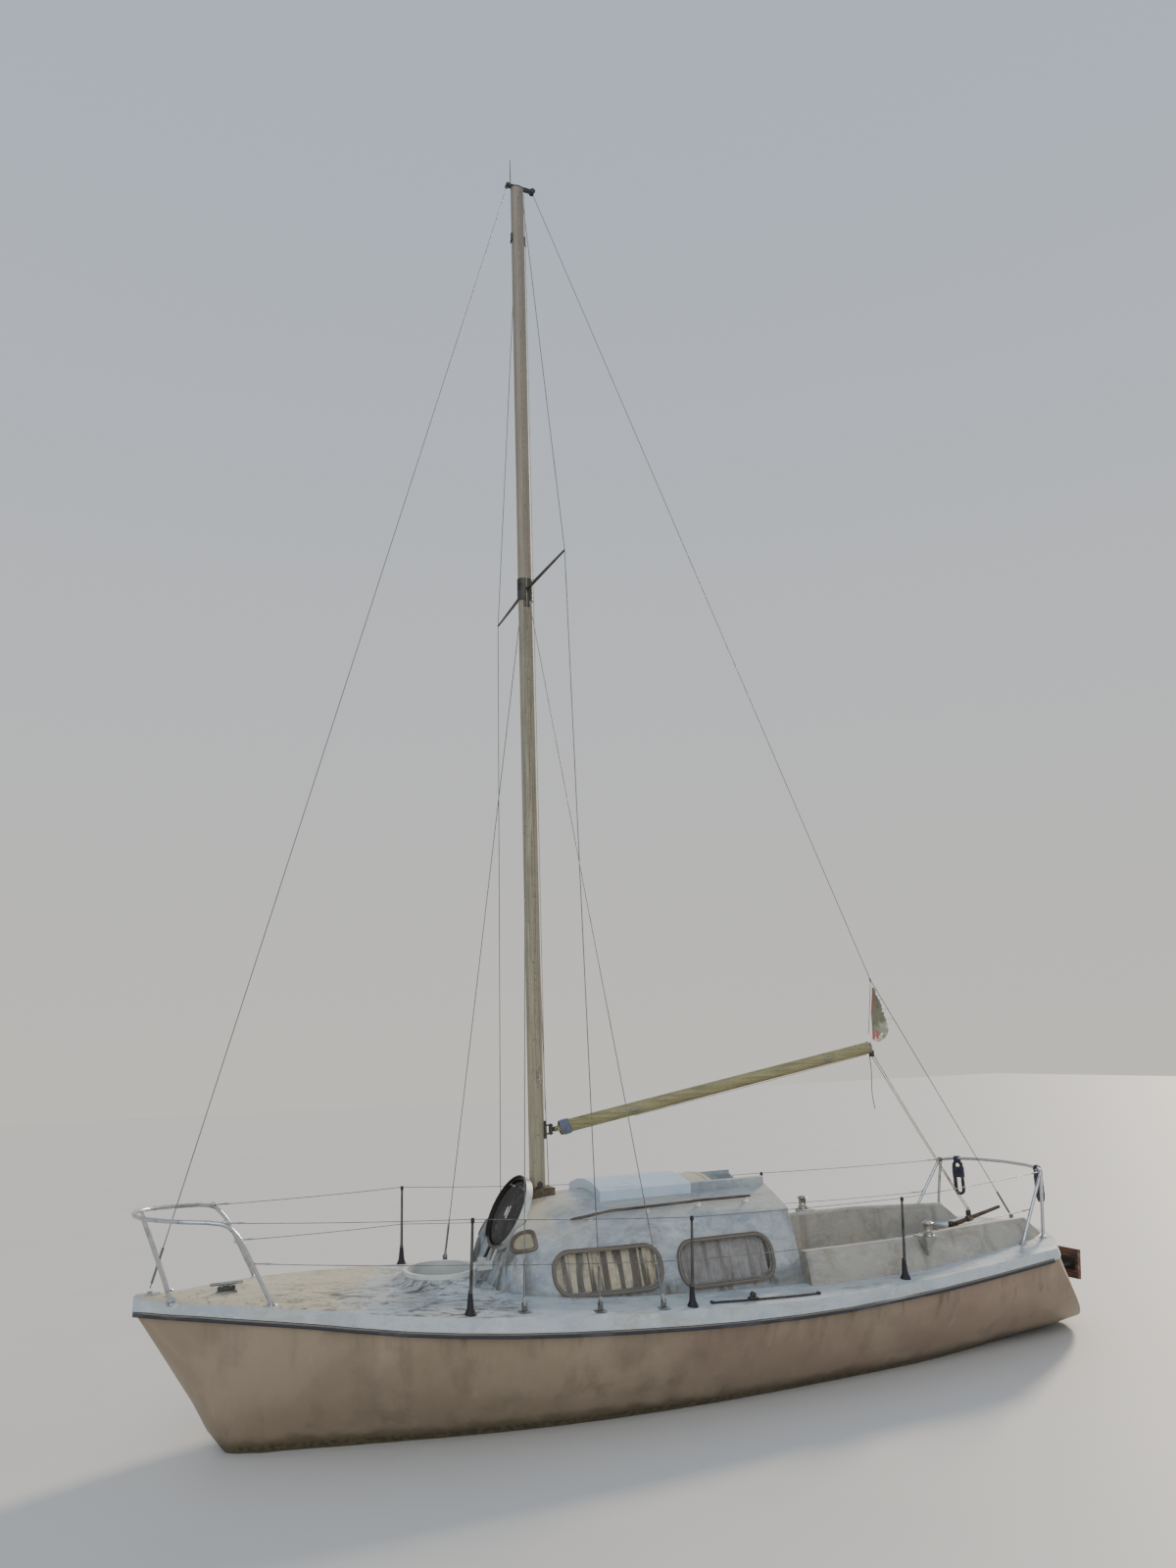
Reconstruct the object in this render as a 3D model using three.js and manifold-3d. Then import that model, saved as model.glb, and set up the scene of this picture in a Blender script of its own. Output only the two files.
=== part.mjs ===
// A small glass-fibre sailing yacht lying afloat: a sloop of about 7 m with a fin keel, a spade rudder,
// a raised coachroof, an open cockpit and a stayed aluminium mast.
// Millimetres. +X points to the bow, +Y to port, +Z up. The origin is on the waterline amidships.

import * as THREE from 'three';
import { mergeVertices } from 'three/addons/utils/BufferGeometryUtils.js';
import Module from 'manifold-3d';

const wasm = await Module();
wasm.setup();

// Gap between pieces that touch
const FIT = 0.3;

// Hull and deck moulding
const HULL_SKIN = 12;
const DECK_SKIN = 14;
const DECK_CAMBER = 28;
const EDGE_ROUND = 6;
const FLANGE_OUT = 16;
const SECTION_STEPS = 9;
// Stations of the hull: x, half breadth at the sheer, height of the sheer, height of the bottom on the
// centreline, depth of the deck flange that turns down over the hull's edge, and how soon the section
// draws in below the sheer (under 1 is a full section, over 2 a hollow one)
const STATIONS = [
  { x: 3242, half: 16, sheer: 870, bottom: 800, flange: 58, fine: 1.55 },
  { x: 3100, half: 125, sheer: 868, bottom: 585, flange: 66, fine: 1.4 },
  { x: 2900, half: 255, sheer: 864, bottom: 277, flange: 72, fine: 1.2 },
  { x: 2700, half: 385, sheer: 858, bottom: -22, flange: 78, fine: 1.1 },
  { x: 2300, half: 602, sheer: 833, bottom: -190, flange: 84, fine: 1.85 },
  { x: 1800, half: 830, sheer: 785, bottom: -305, flange: 90, fine: 2.28 },
  { x: 1200, half: 970, sheer: 735, bottom: -385, flange: 94, fine: 2.3 },
  { x: 500, half: 1025, sheer: 686, bottom: -420, flange: 96, fine: 2.07 },
  { x: -300, half: 1038, sheer: 640, bottom: -410, flange: 94, fine: 1.92 },
  { x: -1100, half: 1015, sheer: 618, bottom: -350, flange: 88, fine: 1.76 },
  { x: -1900, half: 962, sheer: 632, bottom: -240, flange: 82, fine: 1.29 },
  { x: -2700, half: 895, sheer: 668, bottom: -90, flange: 74, fine: 0.96 },
  { x: -3300, half: 832, sheer: 697, bottom: -6, flange: 66, fine: 0.68 },
  { x: -3900, half: 760, sheer: 725, bottom: 70, flange: 60, fine: 0.6 },
];
const STRAKE_OUT = 20;
const STRAKE_HEIGHT = 16;

// Transom: an upright cylinder's arc in plan, leaning so that its foot lies further aft
const TRANSOM = { x: -3470, z: 670, radius: 1086, rake: 0.38 };

// Fin keel and rudder: chords run from leading edge to trailing edge
const KEEL = { rootFront: 640, rootAft: -760, tipFront: 330, tipAft: -560, tipZ: -1090, rootHalf: 62, tipHalf: 48 };
const STOCK = { x: -2850, radius: 17, foot: -700, head: 734, clearance: 0.8 };
const BLADE = {
  rootFront: -2740, rootAft: -3110, tipFront: -2780, tipAft: -3030, tipZ: -790, rootHalf: 26, tipHalf: 20, gap: 14,
};
const TILLER_CHEEK = { half: 24, gap: 0.7, thick: 6.3, low: 44, high: 22, saddle: 6 };

// Coachroof: x, half breadth of its foot, height of its crown, and how far its section has gone
// from a round shoulder (0) to a sharp one with a flat panel above it (1)
const ROOF_SKIN = 20;
const ROOF_ROWS = [
  { x: 1112, foot: 300, crown: 800, crease: 0 },
  { x: 1040, foot: 430, crown: 1075, crease: 0 },
  { x: 960, foot: 505, crown: 1205, crease: 0 },
  { x: 850, foot: 558, crown: 1252, crease: 0 },
  { x: 650, foot: 615, crown: 1276, crease: 0.15 },
  { x: 350, foot: 660, crown: 1284, crease: 0.4 },
  { x: -300, foot: 688, crown: 1284, crease: 0.85 },
  { x: -975, foot: 688, crown: 1284, crease: 1 },
];
// Coachroof's section: its side's lean, the parts of its height at which the round section leaves the
// flat side and at which the sharp shoulder lies, how the round rises, the sharp edge's half width and
// the bluntness of its tip, the panel's camber, and the section's steps
const ROOF_SECTION = {
  lean: 3, knuckle: 0.46, shoulder: 0.726, shoulderGrow: 0.757, rise: 1.43, edge: 12, blunt: 1, camber: 5,
  steps: 8, panelTop: 6,
};
const ROOF_AFT = -975;

// Side windows: centre x and z, half length, half height and corner radius of the cut
const WINDOW_RADIUS = 95;
const WINDOWS = [
  { name: '1', x: 432, z: 852, halfX: 345, halfZ: 112 },
  { name: '2', x: -412, z: 838, halfX: 340, halfZ: 122 },
];
const FRONT_WINDOW = { y: 395, z: 1046, halfY: 75, halfZ: 62, aft: 872, front: 1302 };
const FRAME_WIDTH = 26;
const FRAME_OUT = 12;
const PANE = { outer: -4, inner: -9 };

// Companionway: opening in the roof and the aft bulkhead, its runners, hood and sliding hatch
const COMPANION = { half: 210, front: -340, sill: 712 };
const BOARDS = { top: 1206, front: -958, aft: -972, grooveDepth: 3, grooveHalf: 2 };
const RUNNER = { inner: 236, outer: 258, ledge: 212, ledgeZ: 1270, top: 53, front: 330 };
const SLIDE_GAP = 0.6;
const HOOD = { half: 285, skin: 8, top: 66, front: 352, aft: -348 };
const HATCH = { half: 229, low: 30, high: 44, front: 80, aft: -550, lip: 48, lipLength: 34 };

// Fore hatch: coaming ring on the deck and a lid that stands open against the coachroof
const FOREHATCH = { x: 1392, halfX: 238, halfY: 275, wall: 24, top: 872 };
const LID = {
  over: 14, seat: 5, skirt: 16, height: 34, skin: 9, hingeX: 1065, hingeZ: 885, openDeg: 118, skirtFront: 130,
};
const LID_HINGE = {
  y: 70, armHalf: 9, armReach: 88, knuckle: 9, lugThick: 6, side: 1.2, pinRadius: 4, boreRadius: 4.6,
  lugTall: 40, lugLow: 20, lugFoot: 44,
};
// Recess in the coachroof's front that takes the open lid: half breadth and distance behind the lid
const LID_RECESS = { half: 306, behind: 8 };

// Cockpit: coamings by rows of x, outer foot, outer top, inner top and height of the top
const COAMING_ROWS = [
  { x: -976, footOut: 776, topOut: 722, topIn: 640, top: 846 },
  { x: -1900, footOut: 790, topOut: 738, topIn: 655, top: 857 },
  { x: -2350, footOut: 735, topOut: 672, topIn: 590, top: 869 },
  { x: -3130, footOut: 575, topOut: 512, topIn: 440, top: 852 },
  { x: -3268, footOut: 545, topOut: 505, topIn: 430, top: 738 },
];
const SEAT_Z = 560;
const WELL = { half: 265, front: -1090, aft: -2620, floor: 190, skin: 14 };
const COCKPIT_FRONT = -990;
const COCKPIT_AFT = -2985;

// Mast, boom and standing rigging
const MAST = { x: 697, long: 115, wide: 80, foot: 1320, head: 9500, groove: 9, grooveDeep: 12, grooveFrom: 1620 };
const STEP = { front: 796, aft: 600, half: 92, root: 1150 };
const SPREADER = { x: 668, y: 774, z: 5760, rootRadius: 15, tipRadius: 8, bandHalf: 90, bandThick: 7 };
const WIRE = 3.2;
const STAY_END = 1.6;
const MASTHEAD = { front: 796, aft: 545, low: 9500.3, high: 9534, half: 12, cap: 14 };
const AERIAL = { x: 756, top: 9784, root: 4.5, tip: 3 };
// Turnbuckle: distances along the wire from its lower end
const TURNBUCKLE = { from: 30, to: 230, radius: 8 };
// Plates in the deck that carry the wires: sizes either way, below and above the deck
const SHROUD_PLATE = { halfX: 17, halfY: 3, below: 30, above: 52, hole: 40 };
const STEM_PLATE = { aft: 3112, front: 3250, halfY: 15, below: 20, above: 8, lugHalfX: 16, lugHalfY: 4, lugTop: 14 };
const STERN_PLATE = { halfX: 18, halfY: 4, below: 20, above: 10 };
const FORESTAY_FOOT = { x: 3172, z: 936 };
const BACKSTAY = { kinkX: -2262, kinkZ: 2709, footX: -3458, footZ: 776 };
const LOWERS_Z = 5672;
// Chainplates on the deck edge: name, x, y
const CHAINPLATES = [
  { name: 'forward_lower', x: 1115, y: 885 },
  { name: 'cap', x: 658, y: 960 },
  { name: 'aft_lower', x: 242, y: 975 },
];
const GOOSENECK = {
  x: 590, z: 1697, lugThick: 10, lugHalf: 16, lugLow: -34, lugHigh: 24, lugAft: 13,
  plateHalfY: 24, plateHalfZ: 60, sunk: 6, plateThick: 8, pin: 6, pinHalf: 40, pinFit: 0.4,
  knuckle: 14, knuckleHalf: 23, armHalfY: 7, armHalfZ: 14, armAft: 12, crossHalf: 24,
};
const BOOM_PIVOT = 552;
const BOOM = { length: 2790, riseDeg: 9.8, high: 92, wide: 62, sparFrom: 42 };
const BOOM_CHEEK = { aft: 60, front: 12, inner: 12.5, outer: 19, halfZ: 17 };

// Rails: stanchions by x, y of the foot and lean of the top outwards
const STANCHIONS = [
  { name: 'forward', x: 1444, y: 872 },
  { name: 'middle', x: 39, y: 972 },
  { name: 'aft', x: -1649, y: 896 },
];
const STANCHION = { height: 530, lean: 32, lowRadius: 11, topRadius: 8, knobRadius: 13, knobHeight: 24 };
// Flared foot of a stanchion: height above the deck and radius
const STANCHION_FOOT = [
  { z: -12, radius: 42 },
  { z: 32, radius: 21 },
  { z: 130, radius: 12 },
];
const RAIL_RADIUS = 12.5;
const RAIL_FOOT = { low: 30, high: 28, depth: 14, height: 10 };
// Bow and stern rails: points of each tube, those of the legs from the top down
const PULPIT_LEGS = [
  [[3236, 190, 1352], [3150, 165, 1130], [3030, 135, 800]],
  [[2880, 440, 1333], [2790, 456, 1320], [2700, 456, 1230], [2480, 448, 780]],
];
const PULPIT_RAIL = [
  [2870, 440, 1334], [3060, 370, 1346], [3225, 235, 1358], [3290, 90, 1364],
  [3290, -90, 1364], [3225, -235, 1358], [3060, -370, 1346], [2870, -440, 1334],
];
const PUSHPIT_LEGS = [
  [[-3275, 578, 1190], [-3240, 590, 1000], [-3190, 600, 640]],
  [[-3262, 590, 1186], [-3050, 630, 868], [-2905, 657, 640]],
];
const PUSHPIT_RAIL = [
  [-3262, 592, 1184], [-3330, 500, 1198], [-3400, 300, 1204], [-3425, 0, 1206],
  [-3400, -300, 1204], [-3330, -500, 1198], [-3262, -592, 1184],
];

// Deck gear
const WINCH = { x: -1960, y: 797, base: 866, height: 104, radius: 44 };
// Bracket under a winch: distance from its middle, breadth at the coaming and at the top, height of its foot
const WINCH_BRACKET = [
  { dx: -52, foot: 768, out: 834, low: 836 },
  { dx: -6, foot: 786, out: 848, low: 735 },
  { dx: 6, foot: 786, out: 848, low: 735 },
  { dx: 52, foot: 768, out: 834, low: 836 },
];
const HANDRAIL = { y: 420, front: 630, aft: -735, half: 11, low: 26, high: 44, footHalf: 34 };
const HANDRAIL_FEET = [484, 67, -324, -700];
const CLEAT = {
  x: 2745, y: 120, post: 26, postTop: 44, postLow: 11, postHigh: 9, baseX: 62, baseY: 20, baseTop: 8, sunk: 12,
  hornHalf: 95, hornZ: 50, horn: 9,
};
// Plumb board for an outboard motor, on a bracket behind the transom
const PAD = { x: -3582, y: 390, halfY: 140, top: 580, bottom: 365, thick: 30, leanDeg: -8 };
const PAD_BRACKET = { armY: 80, armHalf: 4, armHigh: 12, armReach: 260, plate: 8, plateHalf: 45, inset: 20 };

// Tiller: folded back over its head, its tip clear of the backstay
const TILLER = { length: 500, riseDeg: 11, root: 21, tip: 13, pivotZ: 762 };

// Old ensign, tied between the backstay and the boom's end: corners x, z
const ENSIGN = [
  [-2300.6, 2640], [-2272, 2652], [-2238, 2450], [-2226, 2226], [-2290, 2206], [-2352, 2236], [-2408, 2300], [-2362, 2470], [-2312, 2600],
];
const ENSIGN_THICK = 14;

// Ropes
const BOW_HANK = { halfX: 66, halfY: 34, top: 38, postGap: 12 };
const STERN_HANKS = [
  { name: 'port_stern_hank', x: -3352, y: 462, top: 1187, width: 150, length: 250, thick: 44, turn: 1.0 },
  { name: 'starboard_stern_hank', x: -3352, y: -462, top: 1187, width: 90, length: 290, thick: 44, turn: -1.0 },
];
const BOOM_CORD = { forward: 14, below: 0.6, length: 430, radius: 3.5 };

// Materials
const material = (color, roughness, metalness = 0) => new THREE.MeshStandardMaterial({ color, roughness, metalness });
const hullPaint = material(0x8a7558, 0.6);
const deckGelcoat = material(0xa9adae, 0.55);
const roofGelcoat = material(0xa3abb2, 0.55);
const hoodGelcoat = material(0xa9bdcf, 0.5);
const coamingGelcoat = material(0x9a9d9c, 0.6);
const darkRubber = material(0x2b2623, 0.8);
const smokedGlass = material(0x3c3a36, 0.2);
const oldWood = material(0x5d4532, 0.75);
const sparMetal = material(0x8b8368, 0.5, 0.6);
const steel = material(0xa7abad, 0.35, 0.9);
const darkSteel = material(0x2c2b2a, 0.5, 0.7);
const wireSteel = material(0x6c6c6a, 0.4, 0.9);
const antifouling = material(0x4a3a34, 0.85);
const chrome = material(0xb4b6b8, 0.25, 0.9);
const rope = material(0x23211f, 0.9);
const cloth = material(0x9a6a55, 0.9);

const yacht = new THREE.Group();
yacht.name = 'sailing_yacht';

// Turns a closed geometry into a solid
function solid(geometry) {
  const bare = geometry.clone();
  bare.deleteAttribute('normal');
  bare.deleteAttribute('uv');
  const merged = mergeVertices(bare, 1e-4);
  const mesh = new wasm.Mesh({
    numProp: 3,
    vertProperties: new Float32Array(merged.attributes.position.array),
    triVerts: new Uint32Array(merged.index.array),
  });
  return new wasm.Manifold(mesh);
}

// Turns a solid back into a geometry
function geometryOf(body) {
  const mesh = body.getMesh();
  const geometry = new THREE.BufferGeometry();
  geometry.setAttribute('position', new THREE.BufferAttribute(new Float32Array(mesh.vertProperties), 3));
  geometry.setIndex(new THREE.BufferAttribute(new Uint32Array(mesh.triVerts), 1));
  return geometry;
}

// Adds a named piece to the yacht, or to the group of a moving body
function piece(name, body, surface, parent = yacht) {
  const mesh = new THREE.Mesh(geometryOf(body), surface);
  mesh.name = name;
  parent.add(mesh);
  return mesh;
}

function box(x0, x1, y0, y1, z0, z1) {
  const geometry = new THREE.BoxGeometry(Math.abs(x1 - x0), Math.abs(y1 - y0), Math.abs(z1 - z0));
  geometry.translate((x0 + x1) / 2, (y0 + y1) / 2, (z0 + z1) / 2);
  return solid(geometry);
}

// Round bar from point a to point b
function rod(a, b, radiusA, radiusB = radiusA, sides = 10) {
  const start = new THREE.Vector3(...a);
  const end = new THREE.Vector3(...b);
  const along = end.clone().sub(start);
  const geometry = new THREE.CylinderGeometry(radiusB, radiusA, along.length(), sides);
  geometry.translate(0, along.length() / 2, 0);
  geometry.applyQuaternion(new THREE.Quaternion().setFromUnitVectors(new THREE.Vector3(0, 1, 0), along.normalize()));
  geometry.translate(start.x, start.y, start.z);
  return solid(geometry);
}

// Tube along a smooth curve through the points
function tube(points, radius, steps, sides = 8) {
  const curve = new THREE.CatmullRomCurve3(points.map((p) => new THREE.Vector3(...p)), false, 'centripetal');
  const circle = new THREE.Shape();
  circle.absarc(0, 0, radius, 0, Math.PI * 2);
  const geometry = new THREE.ExtrudeGeometry(circle, {
    steps, extrudePath: curve, curveSegments: sides / 2, bevelEnabled: false,
  });
  return solid(geometry);
}

function union(bodies) {
  return bodies.reduce((sum, body) => sum.add(body));
}

function mirrorY(body) {
  return body.mirror([0, 1, 0]);
}

// Prism of an outline in the x-y plane, from z0 to z1
function prismZ(outline, z0, z1, curveSegments = 12) {
  const geometry = new THREE.ExtrudeGeometry(outline, { depth: z1 - z0, bevelEnabled: false, curveSegments });
  geometry.translate(0, 0, z0);
  return solid(geometry);
}

// Prism of an outline drawn in the x-z plane, from y0 to y1
function prismY(outline, y0, y1, curveSegments = 8) {
  const geometry = new THREE.ExtrudeGeometry(outline, { depth: y1 - y0, bevelEnabled: false, curveSegments });
  geometry.rotateX(Math.PI / 2);
  geometry.translate(0, y1, 0);
  return solid(geometry);
}

// Prism of an outline drawn in the y-z plane, from x0 to x1
function prismX(outline, x0, x1, curveSegments = 8) {
  const geometry = new THREE.ExtrudeGeometry(outline, { depth: x1 - x0, bevelEnabled: false, curveSegments });
  geometry.rotateX(Math.PI / 2);
  geometry.rotateZ(Math.PI / 2);
  geometry.translate(x0, 0, 0);
  return solid(geometry);
}

function polygon(points) {
  return new THREE.Shape(points.map(([x, y]) => new THREE.Vector2(x, y)));
}

function roundedRect(cx, cy, halfX, halfY, radius) {
  const shape = new THREE.Shape();
  const r = Math.min(radius, halfX, halfY);
  shape.moveTo(cx - halfX + r, cy - halfY);
  shape.lineTo(cx + halfX - r, cy - halfY);
  shape.absarc(cx + halfX - r, cy - halfY + r, r, -Math.PI / 2, 0);
  shape.lineTo(cx + halfX, cy + halfY - r);
  shape.absarc(cx + halfX - r, cy + halfY - r, r, 0, Math.PI / 2);
  shape.lineTo(cx - halfX + r, cy + halfY);
  shape.absarc(cx - halfX + r, cy + halfY - r, r, Math.PI / 2, Math.PI);
  shape.lineTo(cx - halfX, cy - halfY + r);
  shape.absarc(cx - halfX + r, cy - halfY + r, r, Math.PI, Math.PI * 1.5);
  return shape;
}

function ellipse(cx, cy, halfX, halfY) {
  const shape = new THREE.Shape();
  shape.absellipse(cx, cy, halfX, halfY, 0, Math.PI * 2);
  return shape;
}

// Volume enclosed by indexed triangles, negative when they are inside out
function signedVolume(points, index) {
  let volume = 0;
  for (let i = 0; i < index.length; i += 3) {
    const [a, b, c] = [0, 1, 2].map((k) => new THREE.Vector3(...points[index[i + k]]));
    volume += a.dot(b.cross(c)) / 6;
  }
  return volume;
}

// Solid through closed rings of equally many points; flat gives a ring point's place in the ring's plane
function loft(rings, flat = ([, y, z]) => new THREE.Vector2(y, z)) {
  const count = rings[0].length;
  const points = rings.flat();
  const index = [];
  for (let r = 0; r + 1 < rings.length; r += 1) {
    for (let i = 0; i < count; i += 1) {
      const a = r * count + i;
      const b = r * count + ((i + 1) % count);
      const mirrored = i >= count / 2;
      if (mirrored) index.push(a, b, a + count, b, b + count, a + count);
      else index.push(a, b, b + count, a, b + count, a + count);
    }
  }
  const cap = (r, inRingOrder) => {
    const outline = rings[r].map(flat);
    const ringTurn = Math.sign(THREE.ShapeUtils.area(outline));
    for (const face of THREE.ShapeUtils.triangulateShape([...outline], [])) {
      const turn = Math.sign(THREE.ShapeUtils.area(face.map((i) => outline[i])));
      const ordered = (turn === ringTurn) === inRingOrder ? face : [...face].reverse();
      index.push(...ordered.map((i) => r * count + i));
    }
  };
  cap(0, false);
  cap(rings.length - 1, true);
  if (signedVolume(points, index) < 0) index.reverse();
  const geometry = new THREE.BufferGeometry();
  geometry.setAttribute('position', new THREE.Float32BufferAttribute(points.flat(), 3));
  geometry.setIndex(index);
  return solid(geometry);
}

// Value of a table's column at x, straight between rows
function at(rows, column, x) {
  const sorted = [...rows].sort((a, b) => a.x - b.x);
  if (x <= sorted[0].x) return sorted[0][column];
  for (let i = 0; i + 1 < sorted.length; i += 1) {
    const [a, b] = [sorted[i], sorted[i + 1]];
    if (x <= b.x) return a[column] + ((b[column] - a[column]) * (x - a.x)) / (b.x - a.x);
  }
  return sorted[sorted.length - 1][column];
}

// Mirrors a half ring, listed from port edge to centreline, to the starboard side
function wholeRing(half) {
  const other = half.filter(([, y]) => y > 0).reverse().map(([x, y, z]) => [x, -y, z]);
  return [...half, ...other];
}

// Rows of a table with a smoothly curved row put between each two
function smoothRows(rows) {
  const place = (i) => rows[Math.min(Math.max(i, 0), rows.length - 1)];
  return rows.flatMap((row, i) => {
    if (i === rows.length - 1) return [row];
    const between = Object.keys(row).map((column) => {
      const [before, from, to, after] = [i - 1, i, i + 1, i + 2].map((k) => place(k)[column]);
      return [column, (9 * (from + to) - before - after) / 16];
    });
    return [row, Object.fromEntries(between)];
  });
}

const LINES = smoothRows(STATIONS);

// Hull below the deck, its surface moved in by inset, or out where inset is negative
function hullBody(inset, topDrop) {
  const rows = LINES.filter((row) => row.half > inset + 60 || inset <= 0);
  const rings = rows.map((row) => {
    const x = inset < 0 && row === LINES[0] ? row.x - inset : row.x;
    const half = row.half - inset;
    const depth = row.sheer - row.bottom - inset;
    const start = Math.asin(topDrop / depth);
    const points = [];
    for (let i = 0; i <= SECTION_STEPS; i += 1) {
      const angle = start + ((Math.PI / 2 - start) * i) / SECTION_STEPS;
      const y = i === SECTION_STEPS ? 0 : half * Math.cos(angle) ** row.fine;
      points.push([x, y, row.sheer - depth * Math.sin(angle)]);
    }
    return wholeRing(points);
  });
  return loft(rings);
}

// Cuts away what lies aft of the transom face, moved aft by grow
function aftOfTransom(grow) {
  const outline = new THREE.Shape();
  const reach = 1040;
  const radius = TRANSOM.radius + grow;
  const angle = Math.asin(reach / radius);
  const centre = TRANSOM.x + TRANSOM.radius;
  outline.moveTo(-5200, -1400);
  outline.lineTo(-5200, 1400);
  outline.lineTo(centre - 100, 1400);
  outline.absarc(centre, 0, radius, Math.PI - angle, Math.PI + angle, false);
  outline.lineTo(centre - 100, -1400);
  const geometry = new THREE.ExtrudeGeometry(outline, { depth: 2400, bevelEnabled: false, curveSegments: 14 });
  geometry.translate(0, 0, -900);
  const position = geometry.attributes.position;
  for (let i = 0; i < position.count; i += 1) {
    position.setX(i, position.getX(i) + TRANSOM.rake * (position.getZ(i) - TRANSOM.z));
  }
  return solid(geometry);
}

// Place of the transom's face at breadth y and height z
function transomX(y, z) {
  const bulge = TRANSOM.radius - Math.sqrt(TRANSOM.radius ** 2 - y ** 2);
  return TRANSOM.x + bulge + TRANSOM.rake * (z - TRANSOM.z);
}

// Height of the deck's top surface
function deckZ(x, y) {
  const half = at(LINES, 'half', x);
  return at(LINES, 'sheer', x) + EDGE_ROUND + DECK_CAMBER * (1 - Math.min(1, Math.abs(y) / half) ** 2);
}

// Block with the deck's top surface moved up by grow and its foot moved out, down to bottom
// or, where bottom is null, to the foot of the flange
function deckBlock(grow, out, bottom, bowReach) {
  const rows = [{ ...LINES[0], x: LINES[0].x + bowReach }, ...LINES.slice(1)];
  const rings = rows.filter((row) => row.half + out > 20).map((row) => {
    const floor = bottom === null ? row.sheer - row.flange : bottom;
    const crown = [0.9, 0.65, 0.35, 0].map((part) => {
      const y = part * (row.half + Math.min(out, 0));
      return [row.x, y, row.sheer + EDGE_ROUND + grow + DECK_CAMBER * (1 - (y / row.half) ** 2)];
    });
    return wholeRing([[row.x, row.half + out, floor], [row.x, row.half + Math.min(out, 4), row.sheer + grow], ...crown]);
  });
  return loft(rings);
}

// What lies under the deck's surface, to seat deck gear on it
const underDeck = deckBlock(FIT, 60, -200, 20);

function onDeck(body) {
  return body.subtract(underDeck);
}

// Prism through the deck under the coachroof
function roofHole() {
  const port = ROOF_ROWS.filter((row) => row.x < 1050).map((row) => [Math.max(row.x, -940), row.foot - 62]);
  const stbd = [...port].reverse().map(([x, y]) => [x, -y]);
  return prismZ(polygon([...port, ...stbd]), 300, 1000);
}

// Breadth of the cockpit's opening in the deck, under the middle of the coaming
function cockpitHalf(x) {
  return (at(COAMING_ROWS, 'footOut', x) + at(COAMING_ROWS, 'topIn', x)) / 2 - 30;
}

function cockpitPrism(front, aft, inset, z0, z1) {
  const between = COAMING_ROWS.map((row) => row.x).filter((x) => x < front && x > aft);
  const places = [front, ...between, aft];
  const port = places.map((x) => [x, cockpitHalf(x) - inset]);
  const stbd = [...port].reverse().map(([x, y]) => [x, -y]);
  return prismZ(polygon([...port, ...stbd]), z0, z1);
}

function foreHatchPrism(inset, z0, z1) {
  return prismZ(ellipse(FOREHATCH.x, 0, FOREHATCH.halfX - inset, FOREHATCH.halfY - inset), z0, z1, 14);
}

function buildHull() {
  const inside = hullBody(HULL_SKIN, -60).subtract(aftOfTransom(-HULL_SKIN));
  const bore = STOCK.radius + STOCK.clearance;
  const stockHole = rod([STOCK.x, 0, -300], [STOCK.x, 0, 150], bore, bore, 16);
  const shell = hullBody(0, DECK_SKIN + FIT).subtract(aftOfTransom(0)).subtract(inside).subtract(stockHole);
  piece('hull', shell, hullPaint);
}

function buildDeck() {
  const skin = deckBlock(0, FLANGE_OUT, null, 20).subtract(aftOfTransom(DECK_SKIN));
  const hullSpace = hullBody(-FIT, DECK_SKIN).subtract(aftOfTransom(FIT));
  const camber = deckBlock(-DECK_SKIN, -40, -600, -60).subtract(aftOfTransom(-30));
  const deck = skin.subtract(hullSpace).subtract(camber)
    .subtract(roofHole())
    .subtract(cockpitPrism(COCKPIT_FRONT, COCKPIT_AFT, 0, 100, 1000))
    .subtract(foreHatchPrism(FOREHATCH.wall, 500, 1200));
  piece('deck', deck, deckGelcoat);
}

function buildStrake() {
  const rows = [{ ...LINES[0], x: LINES[0].x + STRAKE_OUT }, ...LINES.slice(1)];
  const belt = loft(rows.map((row) => {
    const top = row.sheer - row.flange - FIT;
    const half = row.half + STRAKE_OUT;
    return [
      [row.x, half, top - STRAKE_HEIGHT], [row.x, half, top],
      [row.x, -half, top], [row.x, -half, top - STRAKE_HEIGHT],
    ];
  }));
  piece('rubbing_strake', belt.subtract(hullBody(-FIT, DECK_SKIN + FIT)).subtract(aftOfTransom(0)), darkRubber);
}

// Ring of a foil at height z, from its leading edge to its trailing edge and back
function foilRing(front, aft, halfThick, z) {
  const parts = [0, 0.04, 0.14, 0.34, 0.62, 0.85, 1];
  const side = parts.map((s) => [front + (aft - front) * s, Math.max(s > 0.5 ? 3 : 0, halfThick * 2.6 * Math.sqrt(s) * (1 - s)), z]);
  const back = side.slice(1).reverse().map(([x, y]) => [x, -y, z]);
  return [...side, ...back];
}

function foil(rootZ, tipZ, shape) {
  return loft([
    foilRing(shape.rootFront, shape.rootAft, shape.rootHalf, rootZ),
    foilRing(shape.tipFront, shape.tipAft, shape.tipHalf, tipZ),
  ], ([x, y]) => new THREE.Vector2(x, y));
}

function buildKeel() {
  piece('keel', foil(-150, KEEL.tipZ, KEEL).subtract(hullBody(-FIT, DECK_SKIN + FIT)), antifouling);
}

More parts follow.
